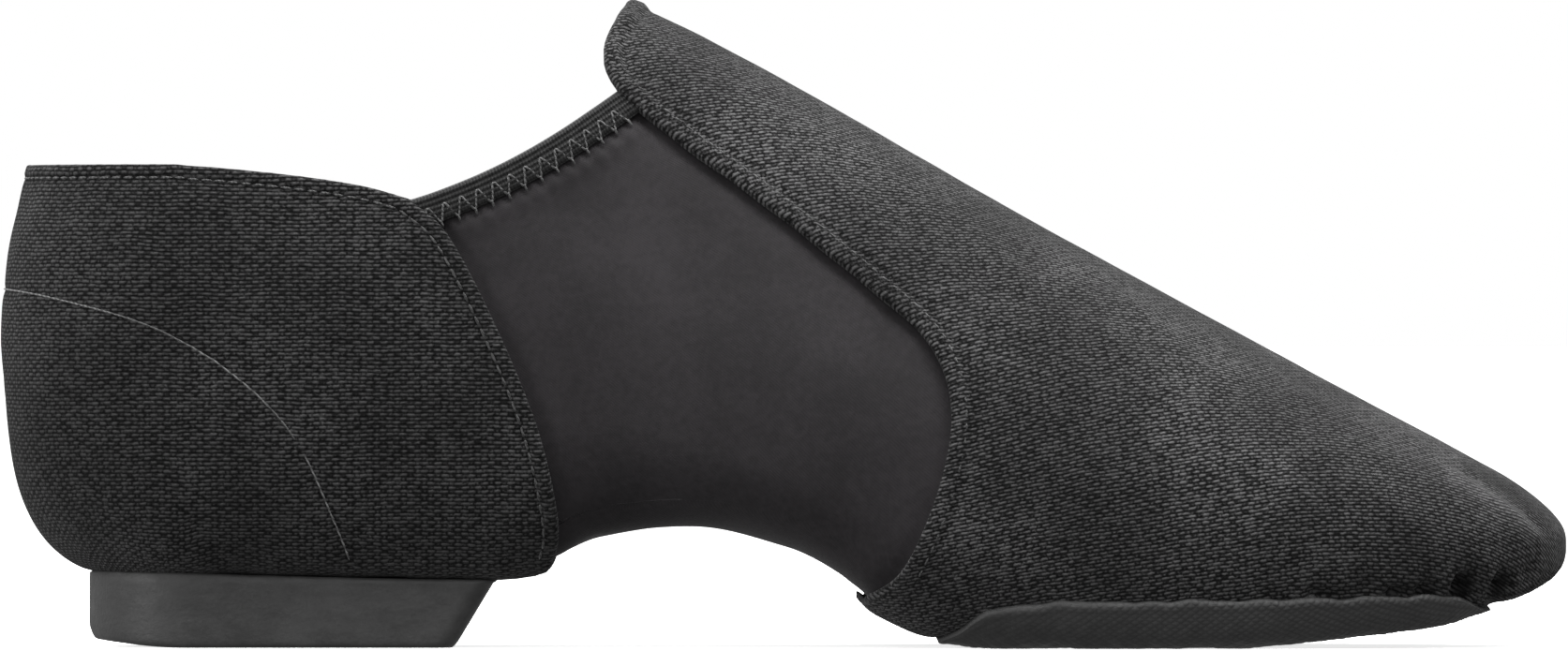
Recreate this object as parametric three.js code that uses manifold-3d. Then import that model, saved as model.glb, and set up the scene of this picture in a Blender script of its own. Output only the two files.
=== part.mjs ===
// A slip-on split-sole dance shoe for the right foot, in millimetres.
// While it is drawn, s runs forward from the back of the heel, y runs from the outer (lateral) side
// to the inner (medial) side, and z is the height above the floor.
import * as THREE from 'three';
import { mergeVertices } from 'three/addons/utils/BufferGeometryUtils.js';
import Module from 'manifold-3d';

const wasm = await Module();
wasm.setup();

// Overall sizes
const shoeLength = 250;           // back of the heel to the tip of the toe
const shoeHeight = 103;           // floor to the top of the tongue
const ballLateral = 41.5;         // widest half widths, at the ball of the foot
const ballMedial = 44.5;
const waistLateral = 31.5;        // narrowest half widths, at the arch
const waistMedial = 28.5;
const heelWidth = 60;             // across the heel cup
const heelHeight = 12.4;          // floor to the seat of the heel
const archHeight = 17.8;          // floor to the underside of the arch
const toeSpring = 5.2;            // rise of the sole's tip above the floor
const heelBlockLength = 65;       // along its top
const heelBlockUndercut = 5.5;    // how far the front face leans back
const heelTreadStart = 18;        // flat tread, from the back of the heel

// Thickness of each layer
const canvasThickness = 1.2;
const liningThickness = 0.8;
const neopreneThickness = 1.8;
const counterThickness = 1.2;
const tapeThickness = 0.6;
const elasticThickness = 1.0;
const soleThickness = 1.5;
const boardThickness = 1.5;
const cushionThickness = 2.5;
const sockThickness = 1.2;
const threadRadius = 0.35;
const clearance = 0.3;            // between layers that touch

// Seams
const seamOverlap = 7;            // how far the gusset runs under the canvas on each side
const blockLedge = 3;             // heel block beyond the flat of the heel seat
const stitchInset = 2.4;          // thread row to folded edge
const toplineInset = 2.2;         // thread row to topline
const elasticWidth = 4.7;         // height of the binding on the gusset
const elasticCover = 1.3;         // binding above the gusset's cut edge
const zigzagHeight = 2.6;
const zigzagPitch = 2.8;
const lastingMargin = 8;          // canvas turned under the insole boards
const tapeHalfWidth = 7;
const liningSetback = 1;          // lining edge behind the canvas edge
const insoleEase = 1;             // edge of the insole layers to the lining wall

// Patterns are drawn at the sample size and graded to the overall sizes above.
const sampleLength = 250;
const sampleHeight = 103;
const gradeLength = shoeLength / sampleLength;
const gradeHeight = shoeHeight / sampleHeight;
const grade = ([s, z]) => [s * gradeLength, z * gradeHeight];

// Stations along the last: the heel is a fan of ribs about an upright axis, the toe closes like an
// ellipse from toeStart to the tip, and toeCap is where the tip starts to round in side view.
const heelAxis = 30 * gradeLength;
const toeStart = 185 * gradeLength;
const toeCap = 238 * gradeLength;
const toePole = 16.5 * gradeHeight;
const lowerPower = 2.2;           // fullness of the section below its widest height
const upperPower = 2;             // and above it
const toePower = 2.7;             // roundness of the tip in side view
const fanSteps = 10;
const middleSteps = 12;
const toeSteps = 6;

// A smooth curve through [s, value] points that never overshoots them, straight past both ends.
function profile(points) {
  const last = points.length - 1;
  const chord = (i) => (points[i + 1][1] - points[i][1]) / (points[i + 1][0] - points[i][0]);
  const slopes = points.map((point, i) => {
    if (i === 0) return chord(0);
    if (i === last) return chord(last - 1);
    const before = chord(i - 1);
    const after = chord(i);
    return before * after <= 0 ? 0 : (2 * before * after) / (before + after);
  });
  return (s) => {
    if (s <= points[0][0]) return points[0][1] + slopes[0] * (s - points[0][0]);
    if (s >= points[last][0]) return points[last][1] + slopes[last] * (s - points[last][0]);
    const i = points.findIndex(([at]) => at > s) - 1;
    const span = points[i + 1][0] - points[i][0];
    const t = (s - points[i][0]) / span;
    const rise = points[i + 1][1] - points[i][1];
    const ease = t * t * (3 - 2 * t);
    const bend = t * (1 - t) * ((1 - t) * slopes[i] - t * slopes[i + 1]) * span;
    return points[i][1] + rise * ease + bend;
  };
}

const lengthwise = (points) => profile(points.map(([s, value]) => [s * gradeLength, value]));
const graded = (points) => profile(points.map(grade));
const mix = (a, b, t) => a + (b - a) * t;

// Underside of the upper: heel seat, arch, then flat on the sole patch with the toe sprung up.
const soleTop = soleThickness + clearance;
const underside = lengthwise([
  [16, heelHeight], [79, heelHeight - 1.4], [85, heelHeight - 0.9], [96, mix(heelHeight, archHeight, 0.65)],
  [111, archHeight], [125, mix(soleTop, archHeight, 0.8)], [133, mix(soleTop, archHeight, 0.54)],
  [140, mix(soleTop, archHeight, 0.2)], [149, soleTop], [192, soleTop],
  [219, soleTop + toeSpring * 0.4], [233, soleTop + toeSpring * 0.8], [250, soleTop + toeSpring * 1.55],
]);

// Crest of the instep. Behind the tongue it is only the construction line of the open topline.
const crest = graded([[30, 105], [65, 109], [88, 108], [100, 103], [104.6, 101.1], [172, 64], [240.6, 27.1]]);

// Height of the widest line
const widestHeight = graded([[30, 46], [65, 43], [100, 36], [135, 26], [165, 19], [200, 16], [250, 16.5]]);

// Half widths at the widest line, and of the flat underside
const halfWidth = {
  lateral: lengthwise([
    [30, heelWidth / 2], [65, mix(heelWidth / 2, waistLateral, 0.3)], [95, waistLateral],
    [135, mix(waistLateral, ballLateral, 0.62)], [185, ballLateral], [250, ballLateral],
  ]),
  medial: lengthwise([
    [30, heelWidth / 2], [65, mix(heelWidth / 2, waistMedial, 0.9)], [100, waistMedial],
    [135, mix(waistMedial, ballMedial, 0.4)], [165, mix(waistMedial, ballMedial, 0.88)],
    [185, ballMedial], [250, ballMedial],
  ]),
};
const flatShare = lengthwise([[30, 0.65], [79, 0.62], [110, 0.5], [145, 0.7], [185, 0.76], [250, 0.7]]);
const heelFlatBack = 13 * gradeLength;

const roundedTip = (s) => {
  const t = Math.max(0, Math.min(1, (s - toeCap) / (shoeLength - toeCap)));
  return (1 - t ** toePower) ** (1 / toePower);
};
const top = (s) => toePole + (crest(s) - toePole) * roundedTip(s);
const bottom = (s) => toePole + (underside(s) - toePole) * roundedTip(s);
const slopeStep = 0.01;
const slopeOf = (curve, s) => {
  const at = Math.min(s, shoeLength - 2 * slopeStep);
  return (curve(at + slopeStep) - curve(at - slopeStep)) / (2 * slopeStep);
};

// Height change that moves a sloping line by depth, square to itself, when its station also moves
// back by depth * back.
const squareInset = (slope, depth, back) => depth * (Math.hypot(1, slope) - Math.abs(slope) * back);

// One rib of the last, sunk by depth. place runs from -1 at the back of the heel, through 0 at the
// heel axis and 1 at toeStart, to 2 at the tip of the toe.
function ribAt(side, place, depth) {
  const shrink = depth / 2;
  if (place < 0) {
    const angle = (-place * Math.PI) / 2;
    const back = Math.sin(angle);
    const across = Math.cos(angle);
    const reach = (rear, flank) => 1 / Math.hypot(back / rear, across / flank);
    const flank = halfWidth[side](heelAxis);
    return {
      s: heelAxis, back, across,
      low: bottom(heelAxis) + depth, wideAt: widestHeight(heelAxis), high: top(heelAxis) - depth,
      flat: reach(heelFlatBack, flank * flatShare(heelAxis)) - shrink, wide: reach(heelAxis, flank) - depth,
    };
  }
  const angle = (Math.max(0, place - 1) * Math.PI) / 2;
  const forward = Math.sin(angle);
  const narrowing = Math.cos(angle);
  const drawn = place <= 1 ? mix(heelAxis, toeStart, place) : mix(toeStart, shoeLength, forward);
  const wide = halfWidth[side](drawn);
  const low = bottom(drawn) + squareInset(slopeOf(bottom, drawn), depth, forward);
  const high = top(drawn) - squareInset(slopeOf(top, drawn), depth, forward);
  const atTip = place >= 2;
  return {
    s: drawn - depth * forward, back: 0, across: 1,
    low: atTip ? toePole : low, wideAt: atTip ? toePole : widestHeight(drawn), high: atTip ? toePole : high,
    flat: (wide * flatShare(drawn) - shrink) * narrowing, wide: (wide - depth) * narrowing,
  };
}

// Half width of a rib at a height
function ribReach(rib, z) {
  const below = z < rib.wideAt;
  const power = below ? lowerPower : upperPower;
  const t = below ? (rib.wideAt - z) / (rib.wideAt - rib.low) : (z - rib.wideAt) / (rib.high - rib.wideAt);
  const swell = Math.max(0, 1 - Math.min(1, t) ** power) ** (1 / power);
  return below ? rib.flat + (rib.wide - rib.flat) * swell : rib.wide * swell;
}

const sign = { lateral: -1, medial: 1 };
const onRib = (side, rib, reach, z) =>
  new THREE.Vector3(rib.s - rib.back * reach, sign[side] * rib.across * reach, z);

// Points up one rib, from the middle of the underside to the crest
function ribPoints(side, rib, flatSteps = 2, lowerSteps = 4, upperSteps = 6) {
  const points = [];
  for (let i = 0; i < flatSteps; i += 1) points.push(onRib(side, rib, (rib.flat * i) / flatSteps, rib.low));
  for (let i = 0; i < lowerSteps; i += 1) {
    const angle = (i / lowerSteps) * (Math.PI / 2);
    const reach = rib.flat + (rib.wide - rib.flat) * Math.sin(angle) ** (2 / lowerPower);
    const z = rib.wideAt - (rib.wideAt - rib.low) * Math.cos(angle) ** (2 / lowerPower);
    points.push(onRib(side, rib, reach, z));
  }
  for (let i = 0; i <= upperSteps; i += 1) {
    const angle = (i / upperSteps) * (Math.PI / 2);
    const reach = i === upperSteps ? 0 : rib.wide * Math.cos(angle);
    points.push(onRib(side, rib, reach, rib.wideAt + (rib.high - rib.wideAt) * Math.sin(angle)));
  }
  return points;
}

// A closed geometry as a solid, and a solid back as a geometry
const solidFrom = (vertProperties, triVerts) =>
  new wasm.Manifold(new wasm.Mesh({ numProp: 3, vertProperties, triVerts }));

function toSolid(geometry) {
  geometry.deleteAttribute('normal');
  geometry.deleteAttribute('uv');
  const merged = mergeVertices(geometry, 1e-4);
  return solidFrom(new Float32Array(merged.attributes.position.array), new Uint32Array(merged.index.array));
}

function toGeometry(solid) {
  const mesh = solid.getMesh();
  const geometry = new THREE.BufferGeometry();
  geometry.setAttribute('position', new THREE.BufferAttribute(mesh.vertProperties, 3));
  geometry.setIndex(new THREE.BufferAttribute(mesh.triVerts, 1));
  return geometry;
}

// The whole last sunk by depth: ribs from the toe along the lateral side, round the heel, and back
// to the toe along the medial side. Ribs share their ends on the middle line, and the tip is one point.
const stations = [];
for (let i = toeSteps; i >= 1; i -= 1) stations.push(1 + i / toeSteps);
for (let i = middleSteps; i >= 0; i -= 1) stations.push(i / middleSteps);
for (let i = 1; i <= fanSteps / 2; i += 1) stations.push((-2 * i) / fanSteps);

const lasts = new Map();
function last(depth) {
  if (lasts.has(depth)) return lasts.get(depth);
  const round = (side) => stations.map((place) =>
    ({ side, place, points: ribPoints(side, ribAt(side, place, depth)) }));
  const ribs = round('lateral').concat(round('medial').reverse().slice(1));
  const crestAt = ribs[0].points.length - 1;
  const positions = [];
  const numbers = new Map();
  const vertex = (i, j) => {
    const { side, place, points } = ribs[i];
    const middle = Math.max(place, 0);
    let name = `${place === -1 ? 'back' : side} ${place} ${j}`;
    if (j === 0) name = `low ${middle}`;
    if (j === crestAt) name = `high ${middle}`;
    if (place === 2) name = 'tip';
    if (!numbers.has(name)) {
      numbers.set(name, numbers.size);
      positions.push(...points[j].toArray());
    }
    return numbers.get(name);
  };
  const faces = [];
  const triangle = (a, b, c) => {
    if (a !== b && b !== c && c !== a) faces.push(a, b, c);
  };
  for (let i = 0; i + 1 < ribs.length; i += 1) {
    for (let j = 0; j < crestAt; j += 1) {
      triangle(vertex(i, j), vertex(i, j + 1), vertex(i + 1, j + 1));
      triangle(vertex(i, j), vertex(i + 1, j + 1), vertex(i + 1, j));
    }
  }
  const solid = solidFrom(new Float32Array(positions), new Uint32Array(faces));
  lasts.set(depth, solid);
  return solid;
}

// A wall of the last between two depths
const wall = (outer, inner) => last(outer).subtract(last(inner));

// The skin of the last at a place seen from the side
function skinPoint(side, s, z, depth) {
  let place = (s - heelAxis) / (toeStart - heelAxis);
  if (s < heelAxis) {
    let near = 0;
    let far = -1;
    for (let i = 0; i < 30; i += 1) {
      place = (near + far) / 2;
      const rib = ribAt(side, place, depth);
      if (rib.s - rib.back * ribReach(rib, z) > s) near = place;
      else far = place;
    }
  }
  if (s > toeStart) place = 1 + (Math.asin((s - toeStart) / (shoeLength - toeStart)) * 2) / Math.PI;
  const rib = ribAt(side, place, depth);
  return onRib(side, rib, ribReach(rib, z), z);
}

// Prisms: an outline seen from the side, cut right across the shoe, and one seen from above
const beyond = 80;                // further than the shoe reaches sideways
const shapeOf = (points) => new THREE.Shape(points.map(([x, y]) => new THREE.Vector2(x, y)));

function sidePrism(points) {
  const geometry = new THREE.ExtrudeGeometry(shapeOf(points), { depth: 2 * beyond, bevelEnabled: false });
  geometry.rotateX(Math.PI / 2);
  geometry.translate(0, beyond, 0);
  return toSolid(geometry);
}

function planPrism(points, low, high) {
  const geometry = new THREE.ExtrudeGeometry(shapeOf(points), { depth: high - low, bevelEnabled: false });
  geometry.translate(0, 0, low);
  return toSolid(geometry);
}

// A drawn line smoothed through its points, and the same line moved square to itself, to the left
// of its direction
const smooth = (points, steps) =>
  new THREE.SplineCurve(points.map((point) => new THREE.Vector2(...grade(point)))).getPoints(steps)
    .map((point) => [point.x, point.y]);

function moved(line, distance) {
  return line.map(([x, y], i) => {
    const [ax, ay] = line[Math.max(0, i - 1)];
    const [bx, by] = line[Math.min(line.length - 1, i + 1)];
    const size = Math.hypot(bx - ax, by - ay);
    return [x - ((by - ay) / size) * distance, y + ((bx - ax) / size) * distance];
  });
}

const under = -20;                // below the floor
const over = 150;                 // above the shoe
const behind = -20;
const ahead = shoeLength + 20;

// Rear edge of the vamp, from the tongue down to the arch
const vampEdge = smooth([
  [99, 88.4], [107.6, 81.3], [122.5, 70.4], [137.5, 58.4], [148, 48.7], [151.5, 38], [149.5, 25.5],
  [143.8, 12], [138, 7.5],
], 22);
const tongueEdge = smooth([[100.4, 103.4], [97.8, 99.5], [96.3, 95], [97, 91.5], [99, 88.4]], 7);

// Front edge of the heel quarters, from the topline down to the heel seat
const quarterEdge = smooth([
  [65.4, 71.6], [71.6, 65.9], [79.1, 51.7], [85.8, 35.2], [89.1, 20.2], [88.4, 13.5],
], 16);
const heelTopline = smooth([[-4, 77.1], [25, 77.1], [42.8, 75.8], [57.2, 73.8], [65.4, 71.6]], 8);
const stretchTopline = smooth([[64, 70.6], [75.2, 75.3], [89.6, 82.7], [101, 89.6]], 8);

// Front edge of the heel counter, which its thread row follows, and the edge of the sole patch
const counterEdge = smooth([
  [-2, 57.6], [9.4, 55.6], [25.2, 50.9], [38.6, 42.7], [47.6, 33], [53.6, 20.2], [56.2, 13.5],
], 14);
const soleEdge = smooth([
  [149, 1.4], [154.4, 3.9], [162, 6], [187, 7.1], [213.5, 7.6], [226, 8.1], [234, 7], [239, 5.6], [248, 3],
], 16);

// Heel block along the shoe
const blockBack = heelAxis - heelFlatBack - blockLedge;
const blockFront = blockBack + heelBlockLength;
const heelTreadEnd = blockFront - heelBlockUndercut - 0.7;

const belowFloor = (line) => [line[line.length - 1][0] - 2, under];
const vampRegion = [
  [tongueEdge[0][0], over], ...tongueEdge, ...vampEdge.slice(1), belowFloor(vampEdge),
  [ahead, under], [ahead, over],
];
const quarterRegion = [
  ...heelTopline, ...quarterEdge.slice(1), belowFloor(quarterEdge), [behind, under],
  [behind, heelTopline[0][1]],
];

// Depths of the layers below the outer skin
const canvasDepth = canvasThickness;
const gussetOuter = canvasDepth + clearance;
const gussetInner = gussetOuter + neopreneThickness;
const liningOuter = canvasDepth + clearance;
const vampLiningInner = liningOuter + liningThickness;
const tapeInner = liningOuter + tapeThickness;
const counterOuter = tapeInner + clearance;
const counterInner = counterOuter + counterThickness;
const heelLiningOuter = Math.max(counterInner, gussetInner) + clearance;
const heelLiningInner = heelLiningOuter + liningThickness;
const elasticOuter = canvasDepth - elasticThickness;
const elasticInner = gussetInner + clearance + elasticThickness;

// Insole layers, as heights above the underside
const boardLow = canvasDepth + clearance;
const boardHigh = boardLow + boardThickness;
const cushionLow = boardHigh + clearance;
const cushionHigh = cushionLow + cushionThickness;
const sockLow = cushionHigh + clearance;
const sockHigh = sockLow + sockThickness;

// Plan outline between two places: the flat of the underside of the last at depth, less a margin
const heelBack = -1;
function planOutline(start, end, depth, margin) {
  const between = stations.filter((place) => place > start && place < end).reverse();
  const edge = { lateral: [], medial: [] };
  for (const side of ['lateral', 'medial']) {
    for (const place of [start, ...between, end]) {
      const rib = ribAt(side, place, depth);
      const point = onRib(side, rib, rib.flat - margin, 0);
      edge[side].push([point.x, point.y]);
    }
  }
  if (start === heelBack) edge.medial.shift();
  return edge.lateral.concat(edge.medial.reverse());
}

const placeOf = (s) => (s - heelAxis) / (toeStart - heelAxis);
const toePlaceOf = (s) => 1 + (Math.asin((s - toeStart) / (shoeLength - toeStart)) * 2) / Math.PI;

// A strip that follows the underside between two heights, right across and along the shoe
function strip(low, high) {
  const line = (depth) => stations.filter((place) => place >= 0 && place < 2).reverse()
    .map((place) => ribAt('lateral', place, depth)).map((rib) => [rib.s, rib.low]);
  const lower = line(low);
  const upper = line(high);
  return sidePrism([[behind, lower[0][1]], ...lower, ...upper.reverse(), [behind, upper.at(-1)[1]]]);
}

// Openings in the underside: in the canvas inside its lasting margin, over the heel and the ball
// only, and in the layers within it right out to the feather edge, from heel to toe
const heelBoardEnd = 77 * gradeLength;
const ballBoardStart = 150 * gradeLength;
const ballBoardEnd = 231 * gradeLength;
const boardRest = 3;              // canvas under the straight ends of the insole boards
const cutUnder = (start, end, margin) =>
  planPrism(planOutline(start, end, 0, margin), under, widestHeight(heelAxis) / 2);
const heelWindow = cutUnder(heelBack, placeOf(heelBoardEnd - boardRest), lastingMargin);
const ballWindow = cutUnder(placeOf(ballBoardStart + boardRest), toePlaceOf(ballBoardEnd), lastingMargin);
const footbed = cutUnder(heelBack, toePlaceOf(ballBoardEnd), 0);

const halfSpace = (side) => planPrism([
  [behind, sign[side] * (clearance / 2)], [ahead, sign[side] * (clearance / 2)],
  [ahead, sign[side] * beyond], [behind, sign[side] * beyond],
], under, over);

// Materials
const finish = (color, roughness) => new THREE.MeshStandardMaterial({ color, roughness, metalness: 0 });
const canvas = finish(0x303233, 0.85);
const neoprene = finish(0x2e2b30, 0.6);
const elastic = finish(0x37353a, 0.75);
const rubber = finish(0x3b3838, 0.65);
const soleRubber = finish(0x211f20, 0.8);
const thread = finish(0x4a4a4c, 0.6);
const liningCloth = finish(0x55524c, 0.9);
const board = finish(0x8a7a60, 0.8);
const foam = finish(0x6b6b6b, 0.9);
const counterBoard = finish(0xc8c0ac, 0.7);

const shoe = new THREE.Group();
function add(name, material, solidOrGeometry) {
  const geometry = solidOrGeometry.isBufferGeometry ? solidOrGeometry : toGeometry(solidOrGeometry);
  const mesh = new THREE.Mesh(geometry, material);
  mesh.name = name;
  shoe.add(mesh);
}

// Canvas vamp with its tongue, and its lining, which stops at the front edge of the gusset
function addVamp() {
  const region = sidePrism(vampRegion);
  add('vamp', canvas, wall(0, canvasDepth).intersect(region).subtract(ballWindow));
  const gussetFront = moved(vampEdge, seamOverlap + clearance);
  const liningRegion = sidePrism([
    [tongueEdge[0][0] + liningSetback, over], ...moved(tongueEdge, liningSetback).slice(0, -1),
    ...gussetFront, belowFloor(gussetFront), [ahead, under], [ahead, over],
  ]);
  add('vamp_lining', liningCloth,
    wall(liningOuter, vampLiningInner).intersect(liningRegion).subtract(footbed));
}

// Stretch gusset: under the arch and up both sides
function addGusset() {
  const front = moved(vampEdge, seamOverlap);
  const back = moved(quarterEdge, -seamOverlap).reverse();
  const topEdge = moved(stretchTopline, -elasticCover);
  const region = sidePrism([...back, ...topEdge, ...front, [front.at(-1)[0], under], [back[0][0], under]]);
  add('arch_gusset', neoprene, wall(gussetOuter, gussetInner).intersect(region));
}

// Elastic folded over the gusset's top edge, between the quarter and the vamp
const bindingEdge = moved(stretchTopline, -elasticWidth);
const tongueRear = Math.min(...tongueEdge.map(([s]) => s)) - clearance;
const bindingRegion = (side) => sidePrism([...stretchTopline, ...[...bindingEdge].reverse()])
  .intersect(sidePrism([
    ...moved(vampEdge, -clearance), ...moved(quarterEdge, clearance).reverse(),
    [quarterEdge[0][0], over], [tongueRear, over], [tongueRear, vampEdge[0][1] + 3],
  ]))
  .intersect(halfSpace(side));

function addBinding(side) {
  const foldLine = moved(stretchTopline, clearance - elasticCover);
  const core = sidePrism([[behind, under], [behind, foldLine[0][1]], ...foldLine, [ahead, under]]);
  const gussetSpace = wall(canvasDepth, gussetInner + clearance).intersect(core);
  add(`elastic_binding_${side}`, elastic,
    wall(elasticOuter, elasticInner).intersect(bindingRegion(side)).subtract(gussetSpace));
}

// Heel quarters, split at the back seam, with the seam tape, counter and lining inside them
function addHeelUpper() {
  const region = sidePrism(quarterRegion);
  const quarters = wall(0, canvasDepth).intersect(region).subtract(heelWindow);
  for (const side of ['lateral', 'medial']) {
    add(`heel_quarter_${side}`, canvas, quarters.intersect(halfSpace(side)));
  }

  const tapeTop = heelTopline[0][1] - toplineInset;
  const tapeStrip = planPrism([
    [behind, -tapeHalfWidth], [heelAxis, -tapeHalfWidth], [heelAxis, tapeHalfWidth], [behind, tapeHalfWidth],
  ], under, tapeTop);
  add('back_seam_tape', elastic, wall(liningOuter, tapeInner).intersect(tapeStrip).subtract(footbed));

  const counterRegion = sidePrism([...counterEdge, [counterEdge.at(-1)[0], under], [behind, under]]);
  add('heel_counter', counterBoard,
    wall(counterOuter, counterInner).intersect(counterRegion).subtract(footbed));

  const liningTop = moved(heelTopline, -liningSetback);
  const liningFront = moved(quarterEdge, -liningSetback);
  const liningRegion = sidePrism([
    ...liningTop.slice(0, -1), ...liningFront.slice(1), belowFloor(liningFront), [behind, under],
    [behind, liningTop[0][1]],
  ]);
  add('heel_lining', liningCloth,
    wall(heelLiningOuter, heelLiningInner).intersect(liningRegion).subtract(footbed));
}

// Rubber heel block, scooped to the heel seat, and the forefoot sole patch, dished round the toe
function addSoles() {
  const seat = heelHeight + 1;
  const profileLine = [
    [blockBack, seat], [blockBack + 0.4, 2.6], [blockBack + 2, 0.9], [heelTreadStart, 0],
    [heelTreadEnd, 0], [heelTreadEnd + 1, 0.7], [blockFront, seat],
  ];
  const outline = planOutline(heelBack, placeOf(blockFront + 5), 0, -blockLedge);
  add('heel_block', rubber,
    sidePrism(profileLine).intersect(planPrism(outline, under, over)).subtract(last(-clearance)));

  const soleRegion = sidePrism([[soleEdge[0][0], under], ...soleEdge, [soleEdge.at(-1)[0], under]]);
  add('forefoot_sole', soleRubber, wall(-clearance - soleThickness, -clearance).intersect(soleRegion));
}

// Insole boards, foam cushions and the sock liner that crosses the arch over both
function addInsoles() {
  const heelEnd = placeOf(heelBoardEnd);
  const ballStart = placeOf(ballBoardStart);
  const ballEnd = toePlaceOf(ballBoardEnd);
  const layer = (low, high, start, end) => strip(low, high)
    .intersect(planPrism(planOutline(start, end, heelLiningInner, insoleEase), under, over));
  add('heel_insole_board', board, layer(boardLow, boardHigh, heelBack, heelEnd));
  add('heel_cushion', foam, layer(cushionLow, cushionHigh, heelBack, heelEnd));
  add('forefoot_insole_board', board, layer(boardLow, boardHigh, ballStart, ballEnd));
  add('forefoot_cushion', foam, layer(cushionLow, cushionHigh, ballStart, ballEnd));
  const insideWalls = last(heelLiningInner + clearance);
  const toeCut = sidePrism([[behind, under], [ballBoardEnd, under], [ballBoardEnd, over], [behind, over]]);
  add('sock_liner', liningCloth, strip(sockLow, sockHigh).intersect(insideWalls).intersect(toeCut));
}

// A thread laid on the skin along drawn points [side, s, z], in steps of one length, or with a fixed
// number of steps between neighbouring points where it turns sharply
const threadStep = 4.5;
function threadAlong(points, stepsBetween = 0) {
  const path = new THREE.CatmullRomCurve3(
    points.map(([side, s, z]) => skinPoint(side, s, z, -clearance - threadRadius)));
  const steps = stepsBetween * (points.length - 1) || Math.ceil(path.getLength() / threadStep);
  const corners = [0, 1, 2, 3].map((i) => [
    threadRadius * Math.cos((i * Math.PI) / 2), threadRadius * Math.sin((i * Math.PI) / 2)]);
  const options = { steps, bevelEnabled: false, extrudePath: path };
  const geometry = new THREE.ExtrudeGeometry(shapeOf(corners), options);
  return toGeometry(toSolid(geometry));
}

function addThreads() {
  const higherThan = (low) => ([, z]) => z > low;
  for (const side of ['lateral', 'medial']) {
    const onSide = ([s, z]) => [side, s, z];
    const quarterRow = moved(quarterEdge, -stitchInset).slice(1).filter(higherThan(heelHeight + 2));
    add(`quarter_edge_stitching_${side}`, thread, threadAlong(quarterRow.map(onSide)));
    const vampRow = moved(vampEdge, stitchInset).slice(1).filter(higherThan(soleTop + 9));
    add(`vamp_edge_stitching_${side}`, thread, threadAlong(vampRow.map(onSide)));
    add(`zigzag_stitching_${side}`, thread, threadAlong(zigzagPoints().map(onSide), 2));
  }
  const toplineRow = moved(heelTopline, -toplineInset);
  add('topline_stitching', thread, aroundHeel(toplineRow.filter(([s]) => s < 62 * gradeLength)));
  const counterRow = counterEdge.filter(higherThan(heelHeight + 1));
  add('counter_stitching', thread, aroundHeel(counterRow));
}

// Zigzag down and up in the lower part of the binding
function zigzagPoints() {
  const line = new THREE.SplineCurve(stretchTopline.map((point) => new THREE.Vector2(...point)));
  const start = 0.26;
  const end = 0.86;
  const turns = 2 * Math.round((line.getLength() * (end - start)) / zigzagPitch);
  const points = [];
  for (let i = 0; i <= turns; i += 1) {
    const t = mix(start, end, i / turns);
    const at = line.getPointAt(t);
    const along = line.getTangentAt(t);
    const drop = elasticWidth - 0.5 - (i % 2) * zigzagHeight;
    points.push([at.x + along.y * drop, at.y - along.x * drop]);
  }
  return points;
}

// A thread from the lateral side round the back of the heel to the medial side, at the height that
// a drawn line has at each station
function aroundHeel(line) {
  const heightAt = profile(line);
  const end = line.at(-1)[0];
  const straightSteps = 6;
  const fan = stations.filter((place) => place < 0);
  const pointsOn = (side) => {
    const points = [];
    for (let i = 0; i <= straightSteps; i += 1) {
      const s = mix(end, heelAxis, i / straightSteps);
      points.push([side, s, heightAt(s)]);
    }
    for (const place of fan) {
      const rib = ribAt(side, place, -clearance - threadRadius);
      let s = heelAxis / 2;
      for (let i = 0; i < 6; i += 1) s = rib.s - rib.back * ribReach(rib, heightAt(s));
      points.push([side, s, heightAt(s)]);
    }
    return points;
  };
  return threadAlong([...pointsOn('lateral'), ...pointsOn('medial').reverse().slice(1)]);
}

addVamp();
addGusset();
addBinding('lateral');
addBinding('medial');
addHeelUpper();
addSoles();
addInsoles();
addThreads();

// The origin is the middle of the heel's flat tread, on the floor.
shoe.position.x = -(heelTreadStart + heelTreadEnd) / 2;
export default shoe;
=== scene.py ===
import math

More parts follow.
